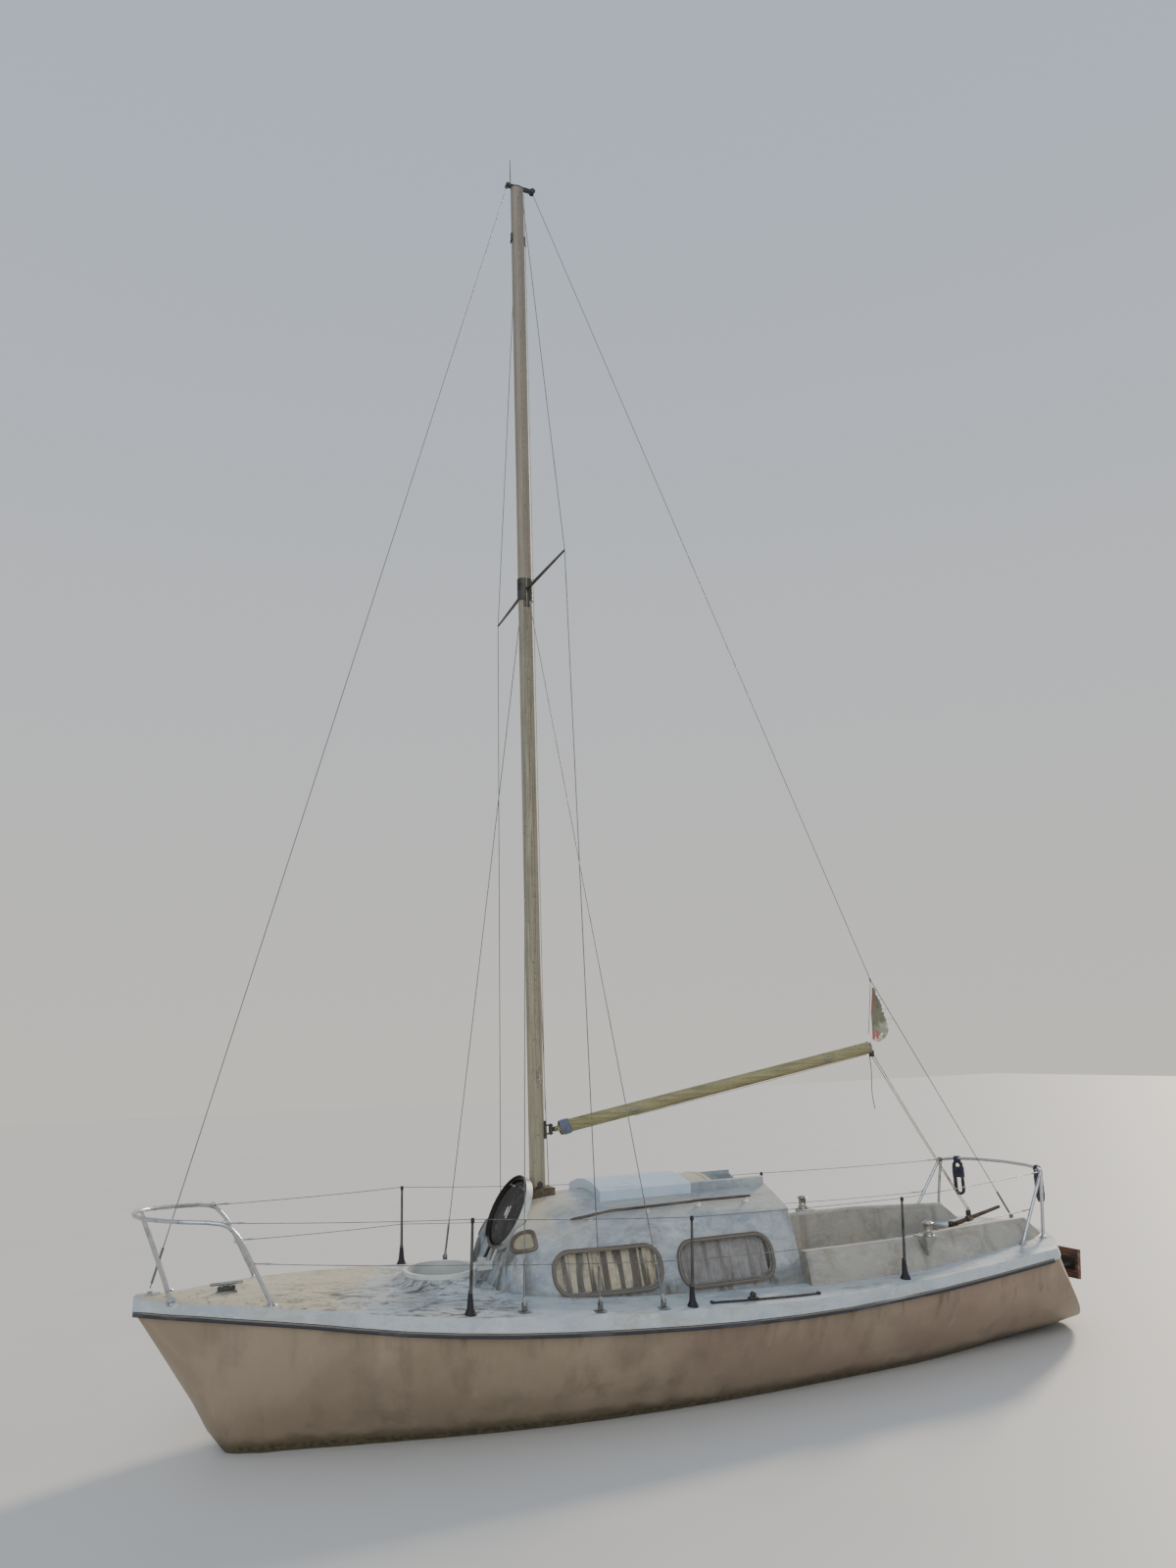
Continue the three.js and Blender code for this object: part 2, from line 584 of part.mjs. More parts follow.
function buildRudder() {
  const blade = foil(60, BLADE.tipZ, BLADE).subtract(hullBody(-BLADE.gap, DECK_SKIN + FIT));
  const stock = rod([STOCK.x, 0, STOCK.foot], [STOCK.x, 0, STOCK.head], STOCK.radius, STOCK.radius, 16);
  const cheek = TILLER_CHEEK;
  const [inner, outer] = [TILLER.root + cheek.gap, TILLER.root + cheek.gap + cheek.thick];
  const cheeks = [1, -1].map((side) => box(
    STOCK.x - cheek.half, STOCK.x + cheek.half, side * inner, side * outer,
    TILLER.pivotZ - cheek.low, TILLER.pivotZ + cheek.high,
  ));
  const saddle = box(STOCK.x - cheek.half, STOCK.x + cheek.half, -outer, outer,
    TILLER.pivotZ - cheek.low - cheek.saddle, STOCK.head);
  piece('rudder', union([blade, stock, saddle, ...cheeks]), antifouling);

  const pivot = new THREE.Group();
  pivot.position.set(STOCK.x, 0, TILLER.pivotZ);
  pivot.rotation.y = THREE.MathUtils.degToRad(TILLER.riseDeg);
  yacht.add(pivot);
  const bar = rod([0, 0, 0], [-TILLER.length, 0, 0], TILLER.root - 2, TILLER.tip, 12);
  const boss = new THREE.CylinderGeometry(TILLER.root - 3, TILLER.root - 3, 2 * TILLER.root, 16);
  piece('tiller', bar.add(solid(boss)).subtract(box(-60, 60, TILLER.root, 90, -60, 60))
    .subtract(box(-60, 60, -90, -TILLER.root, -60, 60)), oldWood, pivot);
}

// Coachroof's outer surface moved out by grow, down to 560 mm
function roofBody(grow) {
  const last = ROOF_ROWS.length - 1;
  const { steps, panelTop, edge, blunt } = ROOF_SECTION;
  return loft(ROOF_ROWS.map((row, i) => {
    const x = row.x + (i === 0 ? grow : 0) - (i === last ? grow : 0);
    const deck = deckZ(row.x, row.foot);
    const knuckle = deck + (row.crown - deck) * ROOF_SECTION.knuckle;
    const side = (z) => row.foot + grow - (z - deck) / ROOF_SECTION.lean;
    const round = [[side(knuckle), knuckle]];
    for (let k = 1; k <= steps; k += 1) {
      const angle = (Math.PI / 2) * (k / steps);
      const y = k === steps ? 0 : side(knuckle) * Math.cos(angle);
      round.push([y, knuckle + (row.crown + grow - knuckle) * Math.sin(angle) ** ROOF_SECTION.rise]);
    }
    const shoulder = deck + (row.crown - deck) * ROOF_SECTION.shoulder + ROOF_SECTION.shoulderGrow * grow;
    const [topY, topZ] = round[panelTop];
    const panel = (y) => {
      const out = (y - topY) / (side(shoulder) - topY);
      return topZ - out * (topZ - shoulder) + 4 * ROOF_SECTION.camber * out * (1 - out);
    };
    const sharp = round.map(([y, z], k) => {
      if (k === 0) return [side(shoulder - edge), shoulder - edge];
      if (k === 1) return [side(shoulder) - blunt, shoulder - blunt];
      if (k === 2) return [side(shoulder) - edge, panel(side(shoulder) - edge)];
      return k < panelTop ? [y, panel(y)] : [y, z];
    });
    const mixed = round.map(([y, z], k) => [y + row.crease * (sharp[k][0] - y), z + row.crease * (sharp[k][1] - z)]);
    return wholeRing([[x, side(560), 560], ...mixed.map(([y, z]) => [x, y, z])]);
  }));
}

// Skin that follows the coachroof between two distances from its outer surface
function roofLayer(low, high) {
  return roofBody(high).subtract(roofBody(low));
}

function windowPrism(w, grow) {
  const outline = roundedRect(w.x, w.z, w.halfX + grow, w.halfZ + grow, WINDOW_RADIUS + grow);
  return prismY(outline, 420, 860, 3);
}

function frontWindowPrism() {
  const outline = ellipse(FRONT_WINDOW.y, FRONT_WINDOW.z, FRONT_WINDOW.halfY, FRONT_WINDOW.halfZ);
  return prismX(outline, FRONT_WINDOW.aft, FRONT_WINDOW.front, 8);
}

// Everything ahead of the open lid's back, moved aft and out by grow
function lidRecess(grow) {
  const back = FOREHATCH.top + LID.seat - LID.hingeZ + LID.height + LID_RECESS.behind;
  return box(-150, 700, -LID_RECESS.half - grow, LID_RECESS.half + grow, -500, back + grow)
    .rotate([0, -LID.openDeg, 0]).translate([LID.hingeX, 0, LID.hingeZ]);
}

function buildCoachroof() {
  const cuts = [
    ...WINDOWS.map((w) => windowPrism(w, 0)),
    frontWindowPrism(),
  ];
  const inside = roofBody(-ROOF_SKIN).subtract(lidRecess(ROOF_SKIN));
  let shell = roofBody(0).subtract(lidRecess(0)).subtract(inside).subtract(underDeck);
  for (const cut of cuts) shell = shell.subtract(cut).subtract(mirrorY(cut));
  const doorway = box(ROOF_AFT - 20, COMPANION.front, -COMPANION.half, COMPANION.half, COMPANION.sill, 1500);
  piece('coachroof', shell.subtract(doorway), roofGelcoat);

  const frameSkin = roofLayer(FIT, FRAME_OUT);
  const paneSkin = roofLayer(PANE.inner, PANE.outer);
  const sides = [['port', (body) => body], ['starboard', mirrorY]];
  for (const [side, place] of sides) {
    for (const w of WINDOWS) {
      const ring = windowPrism(w, FRAME_WIDTH).subtract(windowPrism(w, 2));
      piece(`${side}_window_frame_${w.name}`, onDeck(place(frameSkin.intersect(ring))), darkRubber);
      piece(`${side}_window_pane_${w.name}`, place(paneSkin.intersect(windowPrism(w, -FIT))), smokedGlass);
    }
  }
}

function buildCompanionway() {
  const grooves = [1, 2].map((k) => {
    const z = COMPANION.sill + ((BOARDS.top - COMPANION.sill) * k) / 3;
    return box(BOARDS.aft - 20, BOARDS.aft + BOARDS.grooveDepth, -300, 300, z - BOARDS.grooveHalf, z + BOARDS.grooveHalf);
  });
  const boardHalf = COMPANION.half - FIT;
  let boards = box(BOARDS.aft, BOARDS.front, -boardHalf, boardHalf, COMPANION.sill + FIT, BOARDS.top);
  for (const groove of grooves) boards = boards.subtract(groove);
  piece('companionway_boards', boards, oldWood);

  const upright = roofLayer(FIT, RUNNER.top);
  const above = roofBody(FIT);
  const rails = [1, -1].flatMap((side) => [
    upright.intersect(box(ROOF_AFT + 20, RUNNER.front, side * RUNNER.inner, side * RUNNER.outer, 1000, 1500)),
    box(ROOF_AFT + 20, RUNNER.front, side * RUNNER.ledge, side * (RUNNER.inner + 1), 1200, RUNNER.ledgeZ).subtract(above),
  ]);
  const stop = upright.intersect(box(RUNNER.front - 14, RUNNER.front, -RUNNER.outer, RUNNER.outer, 1000, 1500));
  piece('hatch_runners', union([...rails, stop]), roofGelcoat);

  const hoodOuter = roofLayer(FIT, HOOD.top).intersect(box(HOOD.aft, HOOD.front, -HOOD.half, HOOD.half, 1000, 1500));
  const hoodSide = HOOD.half - HOOD.skin - 6;
  const hoodInner = roofLayer(-5, HOOD.top - HOOD.skin)
    .intersect(box(HOOD.aft - 10, HOOD.front - HOOD.skin, -hoodSide, hoodSide, 1000, 1500));
  piece('hatch_hood', hoodOuter.subtract(hoodInner), hoodGelcoat);

  const panel = roofLayer(HATCH.low, HATCH.high)
    .intersect(box(HATCH.aft, HATCH.front, -HATCH.half, HATCH.half, 1000, 1500));
  const lip = roofLayer(HATCH.low, HATCH.lip)
    .intersect(box(HATCH.aft, HATCH.aft + HATCH.lipLength, -HATCH.half, HATCH.half, 1000, 1500));
  const skids = [1, -1].map((side) => box(HATCH.aft, HATCH.front, side * (RUNNER.ledge + 5), side * HATCH.half,
    RUNNER.ledgeZ + SLIDE_GAP, RUNNER.ledgeZ + 16));
  piece('sliding_hatch', union([panel, lip, ...skids]), oldWood);
}

function buildHandrails() {
  const footSkin = roofLayer(FIT, HANDRAIL.low + 2);
  const barSkin = roofLayer(HANDRAIL.low, HANDRAIL.high);
  const [inner, outer] = [HANDRAIL.y - HANDRAIL.half, HANDRAIL.y + HANDRAIL.half];
  const { footHalf } = HANDRAIL;
  const feet = HANDRAIL_FEET.map((x) => footSkin.intersect(box(x - footHalf, x + footHalf, inner, outer, 900, 1500)));
  const bar = barSkin.intersect(box(HANDRAIL.aft, HANDRAIL.front, inner, outer, 900, 1500));
  const rail = union([bar, ...feet]);
  piece('port_handrail', rail, oldWood);
  piece('starboard_handrail', mirrorY(rail), oldWood);
}

function buildForeHatch() {
  const opening = foreHatchPrism(FOREHATCH.wall, 500, 1200);
  const ring = foreHatchPrism(0, 700, FOREHATCH.top).subtract(opening);
  const ringAft = FOREHATCH.x - FOREHATCH.halfX + FOREHATCH.wall / 2;
  const hinges = [1, -1].flatMap((side) => {
    const near = LID_HINGE.y - LID_HINGE.armHalf - LID_HINGE.side;
    const far = LID_HINGE.y + LID_HINGE.armHalf + LID_HINGE.side;
    const foot = LID.hingeZ - LID_HINGE.lugFoot;
    const lug = (y0, y1) => box(LID.hingeX - 8, LID.hingeX + LID_HINGE.lugTall, side * y0, side * y1, foot, LID.hingeZ + 8)
      .add(box(LID.hingeX, ringAft, side * y0, side * y1, foot, LID.hingeZ - LID_HINGE.lugLow));
    const reach = [near - LID_HINGE.lugThick, far + LID_HINGE.lugThick];
    const pin = rod([LID.hingeX, side * reach[0], LID.hingeZ], [LID.hingeX, side * reach[1], LID.hingeZ],
      LID_HINGE.pinRadius, LID_HINGE.pinRadius, 12);
    return [lug(reach[0], near), lug(far, reach[1]), pin];
  });
  const inside = foreHatchPrism(FOREHATCH.wall, FOREHATCH.top - 60, FOREHATCH.top + 60);
  piece('forehatch_coaming', onDeck(union([ring, ...hinges]).subtract(inside)), deckGelcoat);

  const pivot = new THREE.Group();
  pivot.position.set(LID.hingeX, 0, LID.hingeZ);
  pivot.rotation.y = THREE.MathUtils.degToRad(-LID.openDeg);
  yacht.add(pivot);
  const low = FOREHATCH.top + LID.seat - LID.hingeZ;
  const high = low + LID.height;
  const centre = FOREHATCH.x - LID.hingeX;
  const shape = (grow) => ellipse(centre, 0, FOREHATCH.halfX + grow, FOREHATCH.halfY + grow);
  const cover = prismZ(shape(LID.over), low, high, 14);
  const skirt = prismZ(shape(LID.over), low - LID.skirt, low + 1, 14)
    .subtract(prismZ(shape(LID.over - LID.skin), low - LID.skirt - 1, low + 2, 14))
    .intersect(box(LID.skirtFront, 2 * centre, -400, 400, low - 60, high));
  const inner = prismZ(shape(-8), low - 1, high - LID.skin, 14);
  const arms = [LID_HINGE.y, -LID_HINGE.y].map((y) => {
    const [from, to] = [y - LID_HINGE.armHalf, y + LID_HINGE.armHalf];
    const knuckle = rod([0, from, 0], [0, to, 0], LID_HINGE.knuckle, LID_HINGE.knuckle, 16);
    return knuckle.add(box(0, LID_HINGE.armReach, from, to, low, -low));
  });
  const bore = rod([0, -90, 0], [0, 90, 0], LID_HINGE.boreRadius, LID_HINGE.boreRadius, 12);
  const lid = union([cover, skirt]).subtract(inner).add(union(arms)).subtract(bore);
  piece('forehatch_lid', lid, deckGelcoat, pivot);
}

function coamingRing(row) {
  const deck = deckZ(row.x, row.footOut);
  const round = 16;
  return [
    [row.x, row.footOut, SEAT_Z + FIT],
    [row.x, row.footOut, Math.min(deck, row.top - 2 * round)],
    [row.x, row.topOut, row.top - round],
    [row.x, row.topOut - round, row.top],
    [row.x, row.topIn + round, row.top],
    [row.x, row.topIn, row.top - round],
    [row.x, row.topIn - 8, SEAT_Z + FIT],
  ];
}

function buildCockpit() {
  const slabFront = COCKPIT_FRONT + 12;
  const slabAft = COCKPIT_AFT - 12;
  const slab = cockpitPrism(slabFront, slabAft, FIT, SEAT_Z - 14, SEAT_Z);
  const trunk = box(WELL.aft - WELL.skin, WELL.front + WELL.skin, -WELL.half - WELL.skin, WELL.half + WELL.skin,
    WELL.floor - WELL.skin, SEAT_Z - 1);
  const well = box(WELL.aft, WELL.front, -WELL.half, WELL.half, WELL.floor, SEAT_Z + 10);
  const belowDeck = deckBlock(-DECK_SKIN - FIT, -60, -200, 0);
  const walls = union([
    cockpitPrism(slabFront, COCKPIT_FRONT + FIT, FIT, SEAT_Z - 1, 900),
    cockpitPrism(COCKPIT_AFT - FIT, slabAft, FIT, SEAT_Z - 1, 900),
  ]).intersect(belowDeck);
  const bore = STOCK.radius + STOCK.clearance;
  const stockHole = rod([STOCK.x, 0, 400], [STOCK.x, 0, 700], bore, bore, 16);
  piece('cockpit_well', union([slab, trunk, walls]).subtract(well).subtract(stockHole), coamingGelcoat);

  const deckSide = underDeck.subtract(cockpitPrism(COCKPIT_FRONT, COCKPIT_AFT, FIT, 100, 1000));
  const wall = loft(COAMING_ROWS.map(coamingRing));
  const winchPad = loft(WINCH_BRACKET.map(({ dx, foot, out, low }) => {
    const [x, inner] = [WINCH.x + dx, 690];
    return [[x, inner, low], [x, foot, low], [x, out, WINCH.base - 26], [x, out, WINCH.base], [x, inner, WINCH.base]];
  }));
  const coaming = wall.add(winchPad).subtract(deckSide);
  piece('port_coaming', coaming, coamingGelcoat);
  piece('starboard_coaming', mirrorY(coaming), coamingGelcoat);

  const r = WINCH.radius;
  const h = WINCH.height;
  const profile = [[0, 0], [r, 0], [r, 16], [r * 0.72, 26], [r * 0.62, 52], [r * 0.72, h - 20], [r * 0.95, h - 12],
    [r * 0.95, h - 4], [r * 0.4, h - 4], [r * 0.36, h], [0, h]];
  const drum = new THREE.LatheGeometry(profile.map(([x, y]) => new THREE.Vector2(x, y)), 14);
  drum.rotateX(Math.PI / 2);
  drum.translate(WINCH.x, WINCH.y, WINCH.base + FIT);
  piece('port_winch', solid(drum), chrome);
  piece('starboard_winch', mirrorY(solid(drum)), chrome);
}

// Oval mast section with its long axis fore and aft
function mastPrism(grow, z0, z1) {
  return prismZ(ellipse(MAST.x, 0, MAST.long / 2 + grow, MAST.wide / 2 + grow), z0, z1, 10);
}

function buildMast() {
  const block = box(STEP.aft, STEP.front, -STEP.half, STEP.half, STEP.root, MAST.foot - FIT);
  piece('mast_step', block.subtract(roofBody(FIT)), oldWood);

  const aftFace = MAST.x - MAST.long / 2;
  const groove = box(aftFace - 5, aftFace + MAST.grooveDeep, -MAST.groove / 2, MAST.groove / 2, MAST.grooveFrom, MAST.head + 5);
  piece('mast', mastPrism(0, MAST.foot, MAST.head).subtract(groove), sparMetal);

  const crane = box(MASTHEAD.aft, MASTHEAD.front, -MASTHEAD.half, MASTHEAD.half, MASTHEAD.low, MASTHEAD.high);
  const cap = mastPrism(0, MASTHEAD.low, MASTHEAD.low + MASTHEAD.cap);
  const aerial = rod([AERIAL.x, 0, MASTHEAD.high - 4], [AERIAL.x, 0, AERIAL.top], AERIAL.root, AERIAL.tip);
  piece('masthead_fitting', union([crane, cap, aerial]), darkSteel);

  const bandEnds = [SPREADER.z - SPREADER.bandHalf, SPREADER.z + SPREADER.bandHalf];
  const band = mastPrism(SPREADER.bandThick, ...bandEnds).subtract(mastPrism(FIT, bandEnds[0] - 10, bandEnds[1] + 10));
  const struts = [1, -1].map((side) => rod(
    [MAST.x - 4, side * (MAST.wide / 2 + 3), SPREADER.z], [SPREADER.x, side * (SPREADER.y - 4), SPREADER.z],
    SPREADER.rootRadius, SPREADER.tipRadius,
  ));
  piece('spreaders', union([band, ...struts]), darkSteel);
}

// Wire with a turnbuckle above its lower end and a plate that carries it
function stay(points, plate) {
  const low = new THREE.Vector3(...points[points.length - 1]);
  const above = new THREE.Vector3(...points[points.length - 2]);
  const up = above.clone().sub(low).normalize();
  const place = (distance) => low.clone().addScaledVector(up, distance).toArray();
  const wires = points.slice(1).map((p, i) => rod(points[i], p, WIRE, WIRE, 6));
  const bottle = rod(place(TURNBUCKLE.from), place(TURNBUCKLE.to), TURNBUCKLE.radius, TURNBUCKLE.radius, 8);
  return union([...wires, bottle, ...plate]);
}

function buildRigging() {
  const wireY = MAST.wide / 2 + WIRE + FIT;
  for (const [side, sign] of [['port', 1], ['starboard', -1]]) {
    for (const plate of CHAINPLATES) {
      const foot = deckZ(plate.x, plate.y);
      const y = sign * plate.y;
      const lug = onDeck(box(
        plate.x - SHROUD_PLATE.halfX, plate.x + SHROUD_PLATE.halfX, y - SHROUD_PLATE.halfY, y + SHROUD_PLATE.halfY,
        foot - SHROUD_PLATE.below, foot + SHROUD_PLATE.above,
      ));
      const low = [plate.x, y, foot + SHROUD_PLATE.hole];
      const tip = [SPREADER.x, sign * (SPREADER.y + WIRE + FIT), SPREADER.z];
      const top = plate.name === 'cap'
        ? [[MAST.x - 24, sign * wireY, MAST.head - 20], tip]
        : [[MAST.x + (plate.name === 'forward_lower' ? 18 : -18), sign * (wireY + 1), LOWERS_Z - 20]];
      const name = plate.name === 'cap' ? `${side}_cap_shroud` : `${side}_${plate.name}_shroud`;
      piece(name, stay([...top, low], [lug]), wireSteel);
    }
  }
  const stemDeck = deckZ(FORESTAY_FOOT.x, 0);
  const stem = STEM_PLATE;
  const stemPlate = onDeck(box(stem.aft, stem.front, -stem.halfY, stem.halfY, stemDeck - stem.below, stemDeck + stem.above));
  const stemLug = box(
    FORESTAY_FOOT.x - stem.lugHalfX, FORESTAY_FOOT.x + stem.lugHalfX, -stem.lugHalfY, stem.lugHalfY,
    stemDeck + 4, FORESTAY_FOOT.z - stem.lugTop,
  );
  piece('stemhead_fitting', stemPlate.add(stemLug), steel);
  const foreTop = [MASTHEAD.front - 8, 0, MASTHEAD.low - STAY_END];
  piece('forestay', stay([foreTop, [FORESTAY_FOOT.x, 0, FORESTAY_FOOT.z]], []), wireSteel);

  const sternDeck = deckZ(BACKSTAY.footX, 0);
  const sternLug = onDeck(box(
    BACKSTAY.footX - STERN_PLATE.halfX, BACKSTAY.footX + STERN_PLATE.halfX, -STERN_PLATE.halfY, STERN_PLATE.halfY,
    sternDeck - STERN_PLATE.below, BACKSTAY.footZ + STERN_PLATE.above,
  ));
  const aftTop = [MASTHEAD.aft + 8, 0, MASTHEAD.low - STAY_END];
  const kink = [BACKSTAY.kinkX, 0, BACKSTAY.kinkZ];
  piece('backstay', stay([aftTop, kink, [BACKSTAY.footX, 0, BACKSTAY.footZ]], [sternLug]), wireSteel);
}

function buildBoom() {
  const { x, z, pin } = GOOSENECK;
  const bar = (half, radius, sides) => rod([x, 0, z - half], [x, 0, z + half], radius, radius, sides);
  const mastFace = MAST.x - MAST.long / 2;
  const inMast = mastFace + GOOSENECK.sunk;
  const lugs = [z + GOOSENECK.lugLow, z + GOOSENECK.lugHigh].map((low) => box(
    x - GOOSENECK.lugAft, inMast, -GOOSENECK.lugHalf, GOOSENECK.lugHalf, low, low + GOOSENECK.lugThick,
  ));
  const back = box(
    mastFace - GOOSENECK.plateThick, inMast, -GOOSENECK.plateHalfY, GOOSENECK.plateHalfY,
    z - GOOSENECK.plateHalfZ, z + GOOSENECK.plateHalfZ,
  );
  const bracket = union([...lugs, back, bar(GOOSENECK.pinHalf, pin, 12)]).subtract(mastPrism(FIT, z - 200, z + 200));
  piece('gooseneck_bracket', bracket, darkSteel);

  const knuckle = bar(GOOSENECK.knuckleHalf, GOOSENECK.knuckle, 16);
  const arm = box(
    BOOM_PIVOT - GOOSENECK.armAft, x, -GOOSENECK.armHalfY, GOOSENECK.armHalfY, z - GOOSENECK.armHalfZ, z + GOOSENECK.armHalfZ,
  );
  const bore = bar(GOOSENECK.pinHalf + 20, pin + GOOSENECK.pinFit, 12);
  const crossPin = rod([BOOM_PIVOT, -GOOSENECK.crossHalf, z], [BOOM_PIVOT, GOOSENECK.crossHalf, z], pin, pin, 12);
  piece('gooseneck_toggle', union([knuckle, arm]).subtract(bore).add(crossPin), darkSteel);

  const pivot = new THREE.Group();
  pivot.position.set(BOOM_PIVOT, 0, z);
  pivot.rotation.y = THREE.MathUtils.degToRad(BOOM.riseDeg);
  yacht.add(pivot);
  const outline = ellipse(0, 0, BOOM.wide / 2, BOOM.high / 2);
  const spar = prismX(outline, -BOOM.length, -BOOM.sparFrom, 9);
  const cheek = BOOM_CHEEK;
  const cheeks = [1, -1].map((side) => box(
    -cheek.aft, cheek.front, side * cheek.inner, side * cheek.outer, -cheek.halfZ, cheek.halfZ,
  ));
  const hole = pin + GOOSENECK.pinFit;
  const holes = rod([0, -BOOM.wide, 0], [0, BOOM.wide, 0], hole, hole, 12);
  piece('boom', union([spar, ...cheeks]).subtract(holes), sparMetal, pivot);
}

function buildRails() {
  for (const [side, sign] of [['port', 1], ['starboard', -1]]) {
    for (const post of STANCHIONS) {
      const y = sign * post.y;
      const base = deckZ(post.x, post.y);
      const cones = STANCHION_FOOT.slice(1).map((to, i) => {
        const from = STANCHION_FOOT[i];
        return rod([post.x, y, base + from.z], [post.x, y, base + to.z], from.radius, to.radius, 14);
      });
      const top = [post.x - 8, y + sign * STANCHION.lean, base + STANCHION.height];
      const below = [top[0], top[1] - sign, top[2] - STANCHION.knobHeight];
      const shaft = rod([post.x, y, base + 10], top, STANCHION.lowRadius, STANCHION.topRadius, 10);
      const knob = rod(below, top, STANCHION.knobRadius, STANCHION.knobRadius - 3, 12);
      piece(`${side}_stanchion_${post.name}`, onDeck(union([...cones, shaft, knob])), darkSteel);
    }
  }
  buildRailEnd('pulpit', PULPIT_LEGS, PULPIT_RAIL);
  buildRailEnd('pushpit', PUSHPIT_LEGS, PUSHPIT_RAIL);
}

// Rail of bent tube round one end of the deck, its port legs mirrored to starboard
function buildRailEnd(name, legs, rail) {
  const tubes = legs.map((leg) => tube(leg, RAIL_RADIUS, leg.length + 1));
  const feet = legs.map((leg) => {
    const [lowest, above] = [leg[leg.length - 1], leg[leg.length - 2]];
    const deck = deckZ(lowest[0], lowest[1]);
    const part = (deck - lowest[2]) / (above[2] - lowest[2]);
    const [x, y] = [0, 1].map((k) => lowest[k] + (above[k] - lowest[k]) * part);
    return rod([x, y, deck - RAIL_FOOT.depth], [x, y, deck + RAIL_FOOT.height], RAIL_FOOT.low, RAIL_FOOT.high, 14);
  });
  const half = union([...tubes, ...feet]);
  piece(name, onDeck(union([half, mirrorY(half), tube(rail, RAIL_RADIUS, 2 * rail.length)])), steel);
}

function buildFittings() {
  const z = deckZ(CLEAT.x, CLEAT.y);
  const base = box(
    CLEAT.x - CLEAT.baseX, CLEAT.x + CLEAT.baseX, CLEAT.y - CLEAT.baseY, CLEAT.y + CLEAT.baseY,
    z - CLEAT.sunk, z + CLEAT.baseTop,
  );
  const posts = [CLEAT.x - CLEAT.post, CLEAT.x + CLEAT.post].map((x) => rod(
    [x, CLEAT.y, z], [x, CLEAT.y, z + CLEAT.postTop], CLEAT.postLow, CLEAT.postHigh, 10,
  ));
  const hornZ = z + CLEAT.hornZ;
  const horn = rod(
    [CLEAT.x - CLEAT.hornHalf, CLEAT.y, hornZ], [CLEAT.x + CLEAT.hornHalf, CLEAT.y, hornZ], CLEAT.horn, CLEAT.horn, 10,
  );
  piece('bow_cleat', onDeck(union([base, ...posts, horn])), darkSteel);

  const midZ = (PAD.top + PAD.bottom) / 2;
  const lean = THREE.MathUtils.degToRad(PAD.leanDeg);
  const leaning = (thick, breadth, height, ahead) => {
    const block = new THREE.BoxGeometry(thick, breadth, height);
    block.translate(ahead, 0, 0);
    block.rotateY(lean);
    block.translate(PAD.x, PAD.y, midZ);
    return solid(block);
  };
  piece('outboard_pad', leaning(PAD.thick, 2 * PAD.halfY, PAD.top - PAD.bottom, -PAD.thick / 2), oldWood);
  const bracket = PAD_BRACKET;
  const arms = [PAD.y - bracket.armY, PAD.y + bracket.armY].map((y) => box(
    PAD.x, PAD.x + bracket.armReach, y - bracket.armHalf, y + bracket.armHalf, midZ - bracket.armHigh, midZ + bracket.armHigh,
  ));
  const plate = leaning(bracket.plate, 2 * (PAD.halfY - bracket.inset), 2 * bracket.plateHalf, bracket.plate / 2 + FIT);
  const padSpace = leaning(400, 400, 500, FIT - 200);
  piece('outboard_bracket', union([...arms, plate]).intersect(aftOfTransom(FIT)).subtract(padSpace), darkSteel);
}

function buildCloth() {
  const flag = new THREE.Shape(ENSIGN.map(([x, z]) => new THREE.Vector2(x, z)));
  piece('ensign', prismY(flag, -ENSIGN_THICK / 2, ENSIGN_THICK / 2), cloth);
}

// Ropes: a hank turned round the bow cleat, two hanging from the stern rail and a cord from the boom's end
function buildRopes() {
  const z = deckZ(CLEAT.x, CLEAT.y);
  const gap = BOW_HANK.postGap;
  const posts = [CLEAT.x - CLEAT.post, CLEAT.x + CLEAT.post].map((x) => rod(
    [x, CLEAT.y, z], [x, CLEAT.y, z + 2 * BOW_HANK.top], gap, gap, 10,
  ));
  const outline = ellipse(CLEAT.x, CLEAT.y, BOW_HANK.halfX, BOW_HANK.halfY);
  const turns = prismZ(outline, z + CLEAT.baseTop + FIT, z + BOW_HANK.top, 6);
  piece('bow_rope_hank', onDeck(turns.subtract(union(posts))), rope);

  for (const hank of STERN_HANKS) {
    const outline = roundedRect(0, -hank.length / 2, hank.width / 2, hank.length / 2, hank.width / 2);
    const body = new THREE.ExtrudeGeometry(outline, { depth: hank.thick, bevelEnabled: false, curveSegments: 5 });
    body.translate(0, 0, -hank.thick / 2);
    body.rotateX(Math.PI / 2);
    body.rotateZ(hank.turn);
    body.translate(hank.x, hank.y, hank.top);
    piece(hank.name, solid(body), rope);
  }

  const pivot = new THREE.Group();
  pivot.position.set(BOOM_PIVOT, 0, GOOSENECK.z);
  yacht.add(pivot);
  const rise = THREE.MathUtils.degToRad(BOOM.riseDeg);
  const end = [-BOOM.length * Math.cos(rise), 0, BOOM.length * Math.sin(rise)];
  const start = [end[0] + BOOM_CORD.forward, 0, end[2] - BOOM_CORD.forward * Math.tan(rise)
    - BOOM.high / 2 / Math.cos(rise) - BOOM_CORD.below];
  piece('boom_end_cord', tube([
    start, [start[0] - 4, 3, start[2] - BOOM_CORD.length * 0.3], [start[0] + 3, -3, start[2] - BOOM_CORD.length * 0.7],
    [start[0] - 6, 2, start[2] - BOOM_CORD.length],
  ], BOOM_CORD.radius, 24, 8), rope, pivot);
}

buildHull();
buildDeck();
buildStrake();
buildKeel();
buildRudder();
buildCoachroof();
buildCompanionway();
buildHandrails();
buildForeHatch();
buildCockpit();
buildMast();
buildRigging();
buildBoom();
buildRails();
buildFittings();
buildCloth();
buildRopes();

export default yacht;
